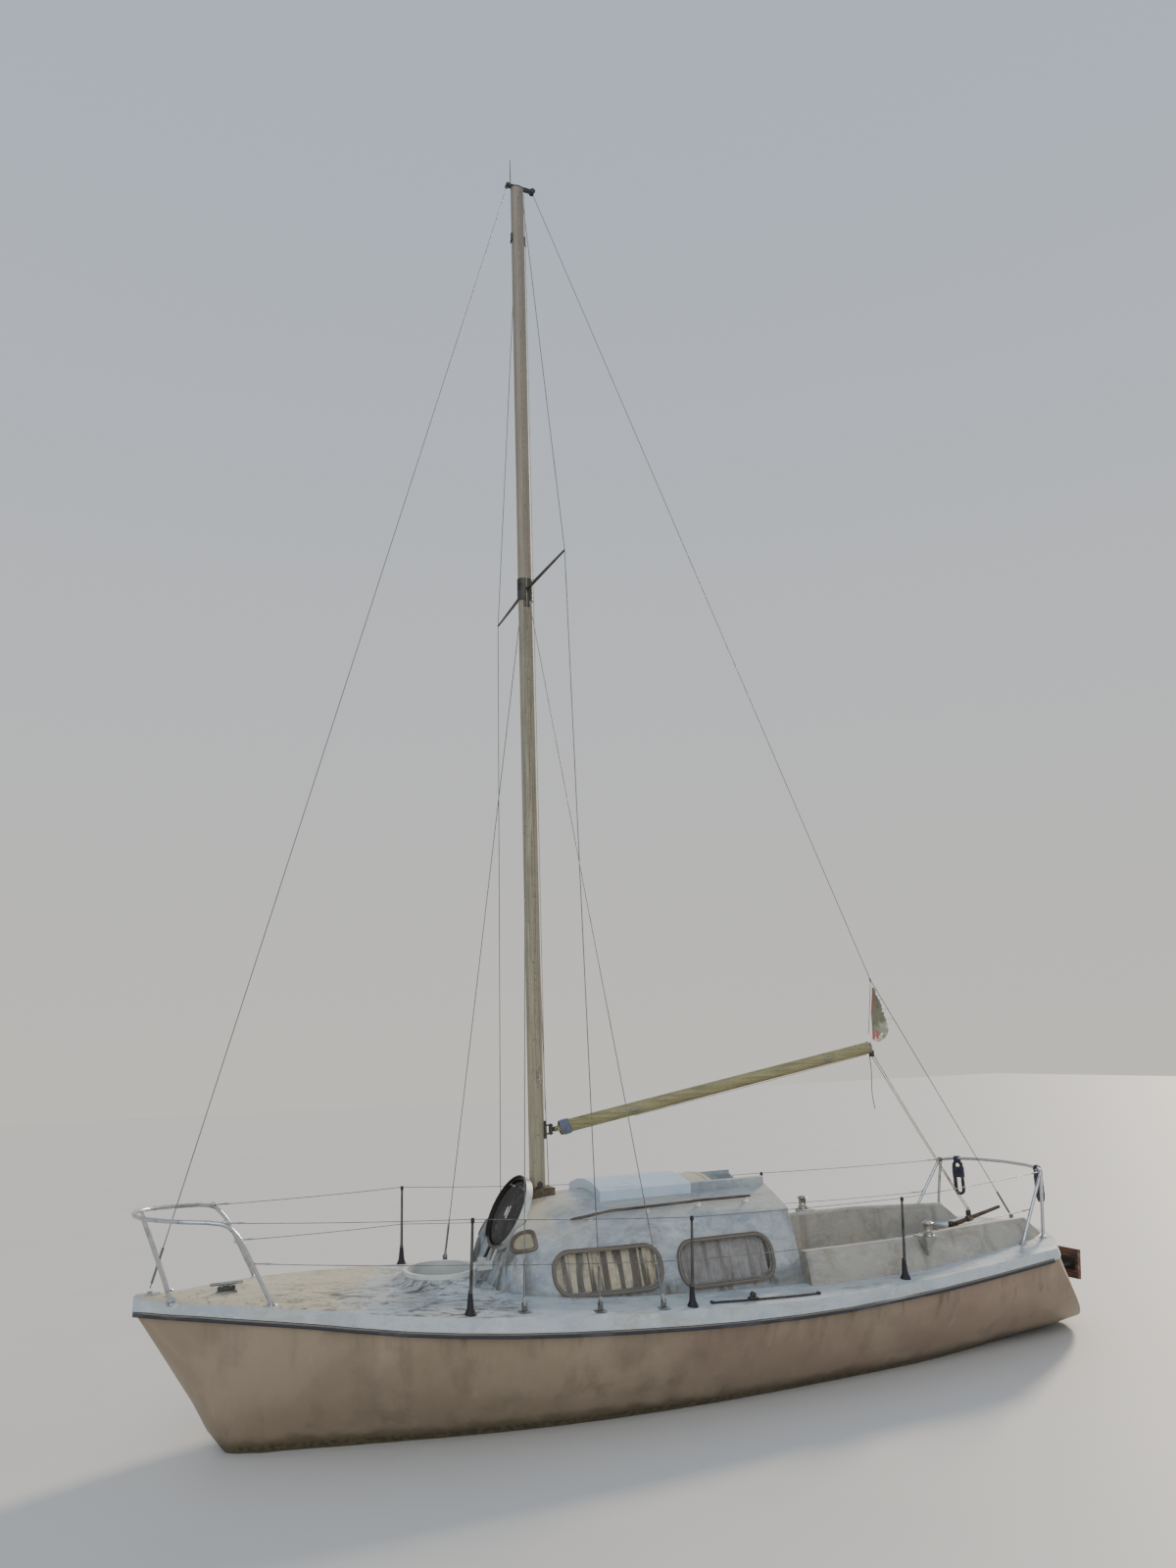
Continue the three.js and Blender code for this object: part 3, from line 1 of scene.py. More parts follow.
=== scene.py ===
"""Looks of a small sailing yacht afloat: camera, light, floor, materials and fine gear round the model."""

from math import cos, pi, radians, sin, tan, tau

import bmesh
import bpy
from mathutils import Matrix, Vector, noise
from mathutils.bvhtree import BVHTree


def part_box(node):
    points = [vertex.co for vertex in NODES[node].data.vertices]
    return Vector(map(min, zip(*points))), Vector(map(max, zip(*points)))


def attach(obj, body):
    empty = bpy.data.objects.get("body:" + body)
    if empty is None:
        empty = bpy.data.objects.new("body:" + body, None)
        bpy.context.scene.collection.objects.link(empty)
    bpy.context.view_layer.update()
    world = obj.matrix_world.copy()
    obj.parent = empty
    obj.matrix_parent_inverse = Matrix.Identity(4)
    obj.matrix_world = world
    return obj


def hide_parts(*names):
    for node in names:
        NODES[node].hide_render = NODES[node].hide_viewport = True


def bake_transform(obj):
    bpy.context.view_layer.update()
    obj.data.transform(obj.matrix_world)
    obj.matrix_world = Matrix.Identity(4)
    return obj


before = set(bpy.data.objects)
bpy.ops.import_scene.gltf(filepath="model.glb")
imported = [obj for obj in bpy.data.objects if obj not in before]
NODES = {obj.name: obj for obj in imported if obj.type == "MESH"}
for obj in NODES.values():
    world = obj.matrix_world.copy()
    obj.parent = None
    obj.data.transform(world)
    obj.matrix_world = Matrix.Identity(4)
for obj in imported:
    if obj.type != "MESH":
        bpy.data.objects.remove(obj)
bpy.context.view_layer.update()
SIDES = (("port", 1), ("starboard", -1))


def xyz(x, y, z):
    return Vector((x, y, z))


AHEAD, ABEAM, UP = xyz(1, 0, 0), xyz(0, 1, 0), xyz(0, 0, 1)
# Camera of the photograph, in metres and degrees
CAMERA_PLACE = xyz(3.414, 7.508, 2.276)
CAMERA_YAW = radians(23.08)
CAMERA_PITCH = radians(13.42)
CAMERA_ROLL = radians(-1.93)
CAMERA_LENS = 24.95

# Rope and rail routes that the model was built with, in metres
CLEAT = xyz(2.745, 0.12, 0.0)
CLEAT_POST = 0.026
# Name, place of the top, turn, width, length, rows and columns
STERN_HANKS = (
    ("port_stern_hank", xyz(-3.352, 0.462, 1.187), 1.0, 0.15, 0.25, 5, 6),
    ("starboard_stern_hank", xyz(-3.352, -0.462, 1.187), -1.0, 0.09, 0.29, 5, 3),
)
HANK_ROPE = 0.004
BOOM_PIVOT = xyz(0.552, 0.0, 1.697)
BOOM_RISE = radians(9.8)
BOOM_ALONG = xyz(-cos(BOOM_RISE), 0, sin(BOOM_RISE))
BOOM_UP = xyz(sin(BOOM_RISE), 0, cos(BOOM_RISE))
BOOM_LENGTH = 2.79
BOOM_HIGH = 0.092
ENSIGN = (
    (-2.3006, 2.64), (-2.272, 2.652), (-2.238, 2.45), (-2.226, 2.226), (-2.29, 2.206),
    (-2.352, 2.236), (-2.408, 2.3), (-2.362, 2.47), (-2.312, 2.6),
)
KINK = xyz(-2.262, 0.0, 2.709)
STAY_FOOT = xyz(-3.458, 0.0, 0.776)
WINCH = (-1.96, 0.797, 0.8663)
STANCHIONS = {"forward": (1.444, 0.872), "middle": (0.039, 0.972), "aft": (-1.649, 0.896)}
STANCHION_LEAN = 0.032
# Place of each chainplate, and the point that its shroud runs up to
CHAINPLATES = (
    (1.115, 0.885, xyz(0.715, 0.0446, 5.652)),
    (0.658, 0.96, xyz(0.668, 0.7775, 5.76)),
    (0.242, 0.975, xyz(0.679, 0.0446, 5.652)),
)
# The open lid of the fore hatch: its own directions and its middle
LID_OPEN = radians(118)
LID_ALONG = xyz(cos(LID_OPEN), 0, sin(LID_OPEN))
LID_OUT = xyz(-sin(LID_OPEN), 0, cos(LID_OPEN))
LID_TURN = Matrix((LID_ALONG, ABEAM, LID_OUT)).transposed()
LID_MIDDLE = xyz(1.065, 0.0, 0.885) + LID_ALONG * 0.327
# Number, x and z of the middle, and half sizes of the cabin windows
WINDOWS = ((1, 0.432, 0.852, 0.345, 0.112), (2, -0.412, 0.838, 0.34, 0.122))
FOREHATCH = {"x": 1.392, "half_x": 0.238, "half_y": 0.275, "top": 0.872}
RAIL_RADIUS = 0.0125
# Bow and stern rails: points of each leg from the top down, and of the rail to the centreline
RAILS = {
    "pulpit": (
        (
            ((3.236, 0.19, 1.352), (3.15, 0.165, 1.13), (3.03, 0.135, 0.8)),
            ((2.88, 0.44, 1.333), (2.79, 0.456, 1.32), (2.706, 0.456, 1.232), (2.48, 0.448, 0.78)),
        ),
        ((2.87, 0.44, 1.334), (3.06, 0.37, 1.346), (3.225, 0.235, 1.358), (3.288, 0.09, 1.364)),
    ),
    "pushpit": (
        (
            ((-3.275, 0.578, 1.19), (-3.24, 0.59, 1.000), (-3.19, 0.6, 0.64)),
            ((-3.262, 0.59, 1.186), (-3.05, 0.63, 0.868), (-2.905, 0.657, 0.64)),
        ),
        ((-3.262, 0.592, 1.184), (-3.33, 0.5, 1.198), (-3.4, 0.3, 1.204), (-3.425, 0.004, 1.206)),
    ),
}
HANDRAIL_FEET = (0.484, 0.067, -0.324, -0.7)
HANDRAIL_Y = 0.42


def put(name, data):
    """New object in the scene."""
    item = bpy.data.objects.new(name, data)
    bpy.context.scene.collection.objects.link(item)
    return item


def set_camera():
    level = cos(CAMERA_PITCH)
    forward = xyz(-sin(CAMERA_YAW) * level, -cos(CAMERA_YAW) * level, sin(CAMERA_PITCH))
    right = forward.cross(UP).normalized()
    turn = Matrix((right, right.cross(forward), -forward)).transposed() @ Matrix.Rotation(CAMERA_ROLL, 3, "Z")
    data = bpy.data.cameras.new("photo_camera")
    data.sensor_width = 36.0
    data.lens = CAMERA_LENS
    data.clip_end = 200.0
    camera = put("photo_camera", data)
    camera.matrix_world = Matrix.Translation(CAMERA_PLACE) @ turn.to_4x4()
    bpy.context.scene.camera = camera


def linear(code):
    """Linear colour of a six-digit sRGB code."""
    parts = [int(code[i:i + 2], 16) / 255 for i in (0, 2, 4)]
    return (*[p / 12.92 if p <= 0.04045 else ((p + 0.055) / 1.055) ** 2.4 for p in parts], 1.0)


class Graph:
    """Shader nodes of a material or of the world."""

    def __init__(self, owner):
        owner.use_nodes = True
        self.tree = owner.node_tree

    def feed(self, socket, value):
        if isinstance(value, bpy.types.NodeSocket):
            self.tree.links.new(value, socket)
        else:
            socket.default_value = value

    def node(self, kind, inputs=(), output=0, **settings):
        """New node with its inputs by place or by name; returns one output."""
        node = self.tree.nodes.new("ShaderNode" + kind)
        for name, value in settings.items():
            setattr(node, name, value)
        for key, value in inputs.items() if isinstance(inputs, dict) else enumerate(inputs):
            self.feed(node.inputs[key], value)
        return node.outputs[output]


class Look(Graph):
    """Procedural material in metres. A pattern is the arguments of noise in a tuple, or a socket."""

    def __init__(self, name, colour, roughness=0.5, metallic=0.0):
        self.material = bpy.data.materials.new(name)
        super().__init__(self.material)
        self.shader = self.tree.nodes["Principled BSDF"].inputs
        self.place = self.node("TexCoord", (), "Object")
        self.normal = self.node("TexCoord", (), "Normal")
        self.colour = linear(colour)
        self.bumped = None
        self.set("Base Color", self.colour)
        self.set("Roughness", roughness)
        self.set("Metallic", metallic)

    def set(self, name, value):
        self.feed(self.shader[name], value)

    def maths(self, operation, *values):
        return self.node("Math", values, operation=operation)

    def dot(self, a, b):
        return self.node("VectorMath", (a, b), "Value", operation="DOT_PRODUCT")

    def offset(self, point):
        """Place seen from a point."""
        return self.node("VectorMath", (self.place, point), operation="SUBTRACT")

    def axis(self, index, source=None):
        return self.node("SeparateXYZ", (source or self.place,), index)

    def stretched(self, stretch):
        return self.node("Mapping", {"Vector": self.place, "Scale": stretch})

    def noise(self, scale, detail, stretch=(1, 1, 1), roughness=0.6, distortion=0.0):
        return self.node("TexNoise", {
            "Vector": self.stretched(stretch), "Scale": scale, "Detail": detail,
            "Roughness": roughness, "Distortion": distortion,
        })

    def cells(self, scale):
        return self.node("TexVoronoi", {"Vector": self.stretched((1, 1, 1)), "Scale": scale}, "Distance")

    def read(self, pattern):
        return self.noise(*pattern) if isinstance(pattern, tuple) else pattern

    def step(self, pattern, low, high, top=1.0):
        """Smooth rise from 0 at low to top at high, or a fall where high is the lower."""
        values = {"Value": self.read(pattern), "From Min": low, "From Max": high, "To Max": top}
        return self.node("MapRange", values, interpolation_type="SMOOTHSTEP")

    def between(self, value, low, high, soft):
        rising = self.step(value, low - soft, low + soft)
        return self.times(rising, self.step(value, high + soft, high - soft))

    def times(self, product, *values):
        for value in values:
            product = self.maths("MULTIPLY", product, value)
        return product

    def paint(self, mask, code):
        self.colour = self.node("MixRGB", {"Fac": mask, "Color1": self.colour, "Color2": linear(code)})
        self.set("Base Color", self.colour)

    def stain(self, code, pattern, low, high, strength=1.0, *masks):
        """Colour where a pattern passes from low to high, inside the masks."""
        self.paint(self.times(self.step(pattern, low, high, strength), *masks), code)

    def relief(self, pattern, strength, distance):
        values = {"Strength": strength, "Distance": distance, "Height": self.read(pattern)}
        if self.bumped is not None:
            values["Normal"] = self.bumped
        self.bumped = self.node("Bump", values)
        self.set("Normal", self.bumped)

    def gloss(self, pattern, low, high):
        """Roughness runs from low to high as the pattern goes from 0 to 1."""
        self.set("Roughness", self.maths("MULTIPLY_ADD", self.read(pattern), high - low, low))


def surface(*names):
    """Tree of the faces of CAD nodes, for rays."""
    points, faces = [], []
    for name in names:
        mesh = NODES[name].data
        start = len(points)
        points += [vertex.co.copy() for vertex in mesh.vertices]
        faces += [[start + i for i in polygon.vertices] for polygon in mesh.polygons]
    return BVHTree.FromPolygons(points, faces)


DECK = surface("deck")
ROOF = surface("coachroof")
WALLS = {
    side: surface("coachroof", *[f"{side}_window_{part}_{n}" for n in (1, 2) for part in ("pane", "frame")])
    for side, _ in SIDES
}


def under(tree, x, y):
    """Highest point of a surface at x, y, and its normal."""
    return tree.ray_cast(xyz(x, y, 3), -UP)[:2]


def beside(side, sign, x, z):
    """Outer point of the cabin's side at x, z."""
    return WALLS[side].ray_cast(xyz(x, sign * 1.5, z), ABEAM * -sign)[0]


def steps(first, last, parts):
    return [first + (last - first) * k / parts for k in range(parts + 1)]


def turns(count, start=0.0):
    """Angles spread evenly over a whole turn."""
    return [tau * (k + start) / count for k in range(count)]


def spoke(angle, u=AHEAD, v=ABEAM):
    return u * cos(angle) + v * sin(angle)


def smooth_line(points, parts):
    """Points of a smooth curve through the given ones."""
    line = [2 * points[0] - points[1], *points, 2 * points[-1] - points[-2]]
    result = []
    for a, b, c, d in zip(line, line[1:], line[2:], line[3:]):
        for k in range(parts):
            t = k / parts
            bend = (2 * a - 5 * b + 4 * c - d) * t * t + (3 * b - a - 3 * c + d) * t ** 3
            result.append(0.5 * (2 * b + (c - a) * t + bend))
    return [*result, line[-2]]


def spaced(points, step):
    """Points along a line at about the same distance from each other."""
    result = [points[0].copy()]
    for a, b in zip(points, points[1:]):
        parts = max(1, round((b - a).length / step))
        result += [a.lerp(b, (k + 1) / parts) for k in range(parts)]
    return result


def sagging(a, b, sag, parts=16):
    """Points from a to b, lower by sag half way."""
    return [a.lerp(b, t) - UP * 4 * sag * t * (1 - t) for t in steps(0, 1, parts)]


def ring(centre, u, v, radius_u, radius_v, count):
    """Points of an ellipse round centre, in the plane of u and v."""
    return [centre + spoke(angle, u * radius_u, v * radius_v) for angle in turns(count)]


def turn_to(direction, up=UP):
    """Rotation whose x axis points along direction and whose z axis is near up."""
    x = direction.normalized()
    y = up.cross(x).normalized()
    return Matrix((x, y, x.cross(y))).transposed()


def keyed(groups):
    """Group of each name."""
    return {name: group for group, names in groups.items() for name in names.split()}


class Shapes:
    """Small shapes that make one piece together."""

    def __init__(self):
        self.points, self.faces = [], []

    def add(self, points, faces):
        start = len(self.points)
        self.points += points
        self.faces += [[start + i for i in face] for face in faces]
        return self

    def grid(self, rows, wrap=False, closed=False, caps=False, holes=()):
        """Faces between rows of points; wrap joins a row's ends, closed the last row to the first."""
        count, last = len(rows[0]), len(rows) - 1
        faces = []
        for k in range(last + closed):
            low, high = k * count, (k + 1) % len(rows) * count
            for j in range(count - 1 + wrap):
                side = (j + 1) % count
                if (k, j) not in holes:
                    faces.append([low + j, low + side, high + side, high + j])
        if caps:
            faces += [list(range(count)), [last * count + j for j in range(count)]]
        return self.add([p for row in rows for p in row], faces)

    def dish(self, centre, rings, back=False):
        """Surface from a centre point out through rings, closed by a flat back if asked."""
        count = len(rings[0])
        pairs = [(k, (k + 1) % count) for k in range(count)]
        faces = [[0, 1 + a, 1 + b] for a, b in pairs]
        for low in range(1, 1 + count * (len(rings) - 1), count):
            high = low + count
            faces += [[low + a, high + a, high + b, low + b] for a, b in pairs]
        if back:
            faces.append([1 + count * (len(rings) - 1) + k for k in range(count)])
        return self.add([centre, *[p for row in rings for p in row]], faces)

    def tube(self, line, radius, sides=10, closed=False, strand=0.0, lay=0.04):
        """Tube along a line; strand is how deep the furrows of a three-strand rope are, and lay its turn."""
        count = len(line)
        side = None
        gone = 0.0
        rows = []
        for k, place in enumerate(line):
            before = line[k - 1] if k or closed else place
            after = line[(k + 1) % count] if k < count - 1 or closed else place
            tangent = (after - before).normalized()
            side = side or tangent.orthogonal().normalized()
            side = (side - tangent * side.dot(tangent)).normalized()
            across = tangent.cross(side)
            gone += (place - line[k - 1]).length if k else 0.0
            size = radius[k] if isinstance(radius, list) else radius
            row = []
            for turn in turns(sides):
                furrow = 0.5 * strand * (cos(3 * (turn - tau * gone / lay)) - 1)
                row.append(place + spoke(turn, side, across) * size * (1 + furrow))
            rows.append(row)
        return self.grid(rows, True, closed, not closed)

    def rope(self, line, radius, sides, lay, strand=0.2):
        """Three-strand rope along a line."""
        return self.tube(line, radius, sides, False, strand, lay)

    def hoop(self, centre, u, v, radius_u, radius_v, count, thick, sides):
        return self.tube(ring(centre, u, v, radius_u, radius_v, count), thick, sides, closed=True)

    def turned(self, centre, axis, profile, sides=20):
        """Turned shape: profile is pairs of the distance along the axis and the radius there, in mm."""
        axis = axis.normalized()
        side = axis.orthogonal().normalized()
        across = axis.cross(side)
        rows = [ring(centre + axis * at / 1000, side, across, r / 1000, r / 1000, sides) for at, r in profile]
        return self.grid(rows, True, caps=True)

    def swept(self, line, section):
        """Section swept along a line: pairs of the way out from the centreline and the way up, in mm."""
        rows = []
        for k, place in enumerate(line):
            along = (line[min(k + 1, len(line) - 1)] - line[max(k - 1, 0)]).normalized()
            out = along.cross(UP).normalized()
            out = out if out.y * place.y > 0 else -out
            rows.append([place + (out * a + UP * b) / 1000 for a, b in section])
        return self.grid(rows, True, caps=True)

    def block(self, centre, size, rounding, turn=Matrix.Identity(3)):
        """Box with rounded edges."""
        shape = bmesh.new()
        bmesh.ops.create_cube(shape, size=1.0)
        bmesh.ops.scale(shape, vec=size, verts=shape.verts)
        bmesh.ops.bevel(shape, geom=shape.edges[:], offset=rounding, segments=2, profile=0.5, affect="EDGES")
        shape.verts.index_update()
        points = [centre + turn @ vertex.co for vertex in shape.verts]
        self.add(points, [[vertex.index for vertex in face.verts] for face in shape.faces])
        shape.free()

    def screw(self, place, normal, radius):
        """Low domed screw head on a surface, radius in mm."""
        dome = [(radius * at, radius * out) for at, out in ((0, 1), (0.35, 1), (0.6, 0.6), (0.6, 0.2))]
        self.turned(place - normal * 0.0005, normal, dome, 10)

    def piece(self, name, look, body="boat", stands_for=(), sharp=38.0):
        """Object of the shapes, with its look and body and the CAD nodes it stands for."""
        mesh = bpy.data.meshes.new(name)
        mesh.from_pydata([tuple(p) for p in self.points], [], self.faces)
        shape = bmesh.new()
        shape.from_mesh(mesh)
        bmesh.ops.recalc_face_normals(shape, faces=shape.faces)
        shape.to_mesh(mesh)
        shape.free()
        mesh.shade_smooth()
        mesh.set_sharp_from_angle(angle=radians(sharp))
        mesh.materials.append(LOOKS[look].material)
        item = put(name, mesh)
        if body:
            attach(item, body)
        if stands_for:
            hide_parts(*stands_for)
        return item


def gelcoat(name, colour, cool, warm, pale, dirt, runs):
    """Weathered gelcoat: clouds of cool, warm and pale colour, specks of dirt and washed-down runs."""
    look = Look(name, colour)
    clouds = (2.4, 9, (0.7, 1, 0.8), 0.74, 1.5)
    look.stain(cool, clouds, 0.45, 0.6, 0.8)
    look.stain(warm, (3.7, 9, (0.6, 1, 1), 0.78, 1.8), 0.5, 0.64, 0.7)
    look.stain(pale, (5.6, 9, (0.5, 1, 1), 0.78, 1), 0.52, 0.66, 0.75)
    look.stain(dirt, (19, 8, (0.5, 1, 1), 0.8, 0.8), 0.56, 0.7, 0.45)
    upright = look.step(look.maths("ABSOLUTE", look.axis(2, look.normal)), 0.85, 0.55)
    look.stain(dirt, (9, 6, (1, 1, 0.07)), 0.52, 0.7, runs, upright)
    look.stain(dirt, (58, 6), 0.62, 0.72, 0.6, look.step((3.1, 4), 0.48, 0.62))
    look.relief((140, 5), 0.12, 0.0006)
    look.relief((2.2, 2), 0.25, 0.006)
    look.gloss(clouds, 0.34, 0.62)
    return look


def hull_look():
    """Buff gelcoat with runs below the strake, scuffs, and scum and weed at the waterline."""
    look = Look("hull_gelcoat", "8b7b66")
    length, height = look.axis(0), look.axis(2)
    clouds = (0.9, 5, (1, 1, 1), 0.6, 0.7)
    look.stain("9a8a74", clouds, 0.46, 0.62, 0.75)
    look.stain("77685a", (1.7, 5), 0.5, 0.66, 0.6)
    look.stain("8d7263", (0.8, 4), 0.42, 0.6, 0.5, look.step(length, 0.6, -0.6))
    look.stain("67594a", (6.5, 7, (1, 1, 0.05)), 0.5, 0.68, 0.35)
    look.stain("a6967e", (8.5, 6, (1, 1, 0.04)), 0.6, 0.72, 0.3)
    below_strake = look.maths("SUBTRACT", look.maths("MULTIPLY_ADD", length, 0.052, 0.64), height)
    look.stain("564938", (14, 5, (1, 1, 0.03)), 0.56, 0.7, 0.75, look.step(below_strake, 0.22, -0.02))
    look.stain("aa9c84", (5, 8, (0.35, 1, 16)), 0.66, 0.72, 0.5, look.between(height, 0.15, 0.62, 0.08))
    wet_edge = look.maths("MULTIPLY_ADD", look.noise(7, 6), 0.13, 0.035)
    look.stain("584c33", look.maths("SUBTRACT", wet_edge, height), -0.03, 0.05, 0.8)
    waterline = look.maths("ABSOLUTE", look.maths("SUBTRACT", height, 0.03))
    look.stain("3d3a22", (30, 6), 0.4, 0.6, 1, look.step(waterline, 0.03, 0.012))
    look.stain("33291f", height, 0.004, -0.012)
    look.stain("3a4426", (11, 6), 0.5, 0.62, 1, look.step(height, 0, -0.1))
    look.relief((1.4, 2), 0.35, 0.012)
    look.relief((90, 5), 0.1, 0.0007)
    look.gloss(clouds, 0.3, 0.55)
    return look


def deck_look():
    """Pale deck: tread forward with painted sunlight in cream on it, black growth by the fore hatch, worn
    side walks, painted shade inside the hatch ring.
    """
    look = gelcoat("deck_gelcoat", "b6bdc0", "a3adb3", "aaa79b", "c9d0d2", "7d7c70", 0)
    length, across = look.axis(0), look.axis(1)
    flat = look.step(look.axis(2, look.normal), 0.6, 0.8)
    tread = look.times(flat, look.step(length, 0.85, 1.5))
    look.stain("a3a196", (2.1, 5), 0.36, 0.6, 0.6, tread)
    # Painted sunlight: cream over the forward tread up to a ragged slanting edge, and paler cream patches
    # further forward.
    sunlit_edge = look.maths("MULTIPLY_ADD", look.noise(4, 6), 0.5, length)
    look.stain("bdb193", look.maths("MULTIPLY_ADD", across, -0.45, sunlit_edge), 2, 2.35, 0.9, tread)
    look.stain("cbc2a9", (3.6, 6), 0.42, 0.6, 0.6, tread, look.step(length, 1.9, 2.7))
    by_hatch = look.times(look.between(length, 1.05, 2.5, 0.2), look.step(across, -0.25, 0.2))
    look.stain("34322b", (9, 9, (0.5, 1.3, 1), 0.8, 1.2), 0.47, 0.6, 0.9, by_hatch, flat)
    look.stain("6f7258", (6, 6), 0.54, 0.68, 0.45, flat)
    inner = look.step(look.maths("ABSOLUTE", across), 0.9, 0.62)
    look.stain("4b493f", (24, 7), 0.57, 0.66, 0.6, inner, flat)
    look.stain("8d9498", (8, 7, (0.3, 1, 1)), 0.5, 0.66, 0.75, flat, look.step(length, 1, 0.7))
    look.relief(look.times(look.cells(150), tread), 0.5, 0.0012)
    # Painted shade: dark brown on the faces near the fore hatch that look inward into its ring.
    from_hatch = look.offset(xyz(FOREHATCH["x"], 0, FOREHATCH["top"]))
    hatch_shade_zone = look.step(look.dot(from_hatch, from_hatch), 0.095, 0.085)
    look.stain("4b3f33", look.dot(look.normal, from_hatch), -0.06, -0.12, 0.9, hatch_shade_zone)
    return look


def roof_look():
    """Brushed roof: cream round the mast, dark streaks low on its front, grime at its foot and under the
    windows.
    """
    look = gelcoat("roof_gelcoat", "a6abac", "828f99", "877f74", "c0c6c6", "5f5e56", 0.3)
    length, height = look.axis(0), look.axis(2)
    look.stain("76828c", (4.4, 9, (0.35, 1, 1), 0.8, 1.4), 0.46, 0.62, 0.6)
    look.stain("6f6a60", (9, 8, (1, 1, 0.6), 0.8, 1.6), 0.54, 0.66, 0.5)
    look.stain("a9a698", (3, 6), 0.36, 0.6, 0.55, look.step(look.axis(2, look.normal), 0.72, 0.92))
    top = look.step(height, 1, 1.16)
    look.stain("c6baa2", (4, 5), 0.32, 0.56, 0.85, look.between(length, 0.56, 1.12, 0.14), top)
    # Darker vertical streaks over the lower part of the front.
    front = look.times(look.step(length, 0.86, 0.98), look.step(height, 1.08, 0.95))
    look.stain("4a463c", (10, 6, (1, 1, 0.12)), 0.42, 0.58, 0.8, front)
    foot = look.maths("MULTIPLY_ADD", look.noise(9, 6), 0.12, 0.66)
    look.stain("5c5b50", look.maths("SUBTRACT", height, foot), 0.06, 0, 0.55)
    sills = look.times(look.between(height, 0.66, 0.74, 0.02), look.between(length, -0.8, 0.82, 0.02))
    look.stain("4d4a41", (20, 6, (1, 1, 0.1)), 0.46, 0.6, 0.75, sills)
    return look


def coaming_look():
    """Gelcoat of the cockpit with brown seats and a dark sole."""
    look = gelcoat("cockpit_gelcoat", "a29e93", "8b8b87", "8d8271", "b6b2a8", "5b574c", 0.35)
    height = look.axis(2)
    level = look.step(look.axis(2, look.normal), 0.9, 0.98)
    seat = look.between(height, 0.5, 0.6, 0.03)
    look.stain("a08a66", look.maths("ABSOLUTE", look.axis(1)), 0.25, 0.28, 0.85, level, seat)
    look.stain("3f3b31", (8, 7), 0.35, 0.6, 1, level, look.step(height, 0.34, 0.24))
    look.relief(look.times(look.cells(120), level), 0.4, 0.001)
    return look


def lid_look():
    """Pale lid with a dark underside; the directions are those of the open lid."""
    look = Look("lid_gelcoat", "c3c5bf")
    look.stain("a9aba4", (4, 6), 0.46, 0.64, 0.8)
    look.stain("6d6a5e", (40, 7), 0.6, 0.7, 0.7)
    from_middle = look.offset(LID_MIDDLE)
    up = look.dot(look.normal, LID_OUT)
    depth = look.times(look.dot(from_middle, LID_OUT), up)
    outward = look.maths("SUBTRACT", look.dot(look.normal, from_middle), depth)
    inside = look.maths("MAXIMUM", look.step(up, -0.35, -0.5), look.step(outward, -0.02, -0.05))
    look.paint(inside, "2e2a26")
    look.relief((130, 4), 0.1, 0.0006)
    look.gloss((5, 4), 0.32, 0.6)
    return look


def hood_look(name, colour, pale, dark):
    look = Look(name, colour)
    look.stain(pale, (3, 5), 0.5, 0.68, 0.7)
    look.stain(dark, (7, 7, (0.5, 1.4, 1)), 0.56, 0.72, 0.6)
    look.stain("6d6b60", (70, 6), 0.64, 0.72, 0.6)
    look.relief((120, 4), 0.08, 0.0006)
    look.gloss((4, 4), 0.22, 0.5)
    return look


def wood(name, colour, dark, pale, stretch, rough=0.7):
    """Weathered wood with the grain along the axis that is stretched least."""
    look = Look(name, colour)
    grain = (9, 8, stretch, 0.7, 0.4)
    cracks = look.step((26, 8, stretch, 0.75), 0.6, 0.66)
    look.stain(dark, grain, 0.42, 0.6)
    look.stain(pale, (3, 6, stretch), 0.52, 0.7, 0.7)
    look.paint(look.times(cracks, 0.8), "1f1812")
    look.relief(grain, 0.5, 0.0012)
    look.relief(cracks, 0.5, -0.001)
    look.gloss(grain, rough - 0.12, rough + 0.12)
    return look


def metal(name, colour, dark, rough, shine, rust, tint="6e4a2c"):
    """Metal with cloudy tarnish and small rust marks."""
    look = Look(name, colour, rough, shine)
    look.stain(dark, (14, 6), 0.5, 0.68, 0.7)
    look.stain(tint, (55, 6), 0.6, 0.7, rust, look.step((6, 3), 0.45, 0.6))
    look.relief((220, 4), 0.12, 0.0004)
    look.gloss((14, 6), rough * 0.7, rough * 1.5)
    return look


def spar(name, colour, dark, pale, stretch, aloft=None):
    """Weathered spar with long streaks; a mast is greyer aloft."""
    look = Look(name, colour, 0.55, 0.25)
    streak = (11, 7, stretch, 0.62)
    look.stain(dark, streak, 0.42, 0.66, 0.7)
    look.stain(pale, (20, 6, stretch), 0.56, 0.7, 0.7)
    look.stain("3f3b2e", (46, 7), 0.6, 0.7, 0.7)
    look.stain("77705a", (2.4, 4), 0.52, 0.66, 0.35)
    if aloft:
        look.stain(aloft, look.axis(2), 3, 8.5, 0.75)
    look.relief(streak, 0.3, 0.0007)
    look.gloss(streak, 0.42, 0.7)
    return look


def rubber(name, colour, pale, rough=0.65):
    look = Look(name, colour)
    look.stain(pale, (5, 6), 0.48, 0.66, 0.8)
    look.stain("1c1a18", (75, 8, (0.5, 0.5, 1.5)), 0.62, 0.7, 0.7)
    look.relief((160, 5), 0.3, 0.0006)
    look.gloss((8, 4), rough - 0.15, rough + 0.12)
    return look


def wire_look():
    look = Look("wire_strand", "7d8082", 0.42, 0.9)
    lay = look.maths("SINE", look.times(look.axis(2), 900.0))
    look.stain("34322f", lay, -0.2, 0.9, 0.6)
    look.stain("6b4c32", (4, 4), 0.5, 0.62, 0.6)
    look.relief(lay, 0.4, 0.0006)
    return look


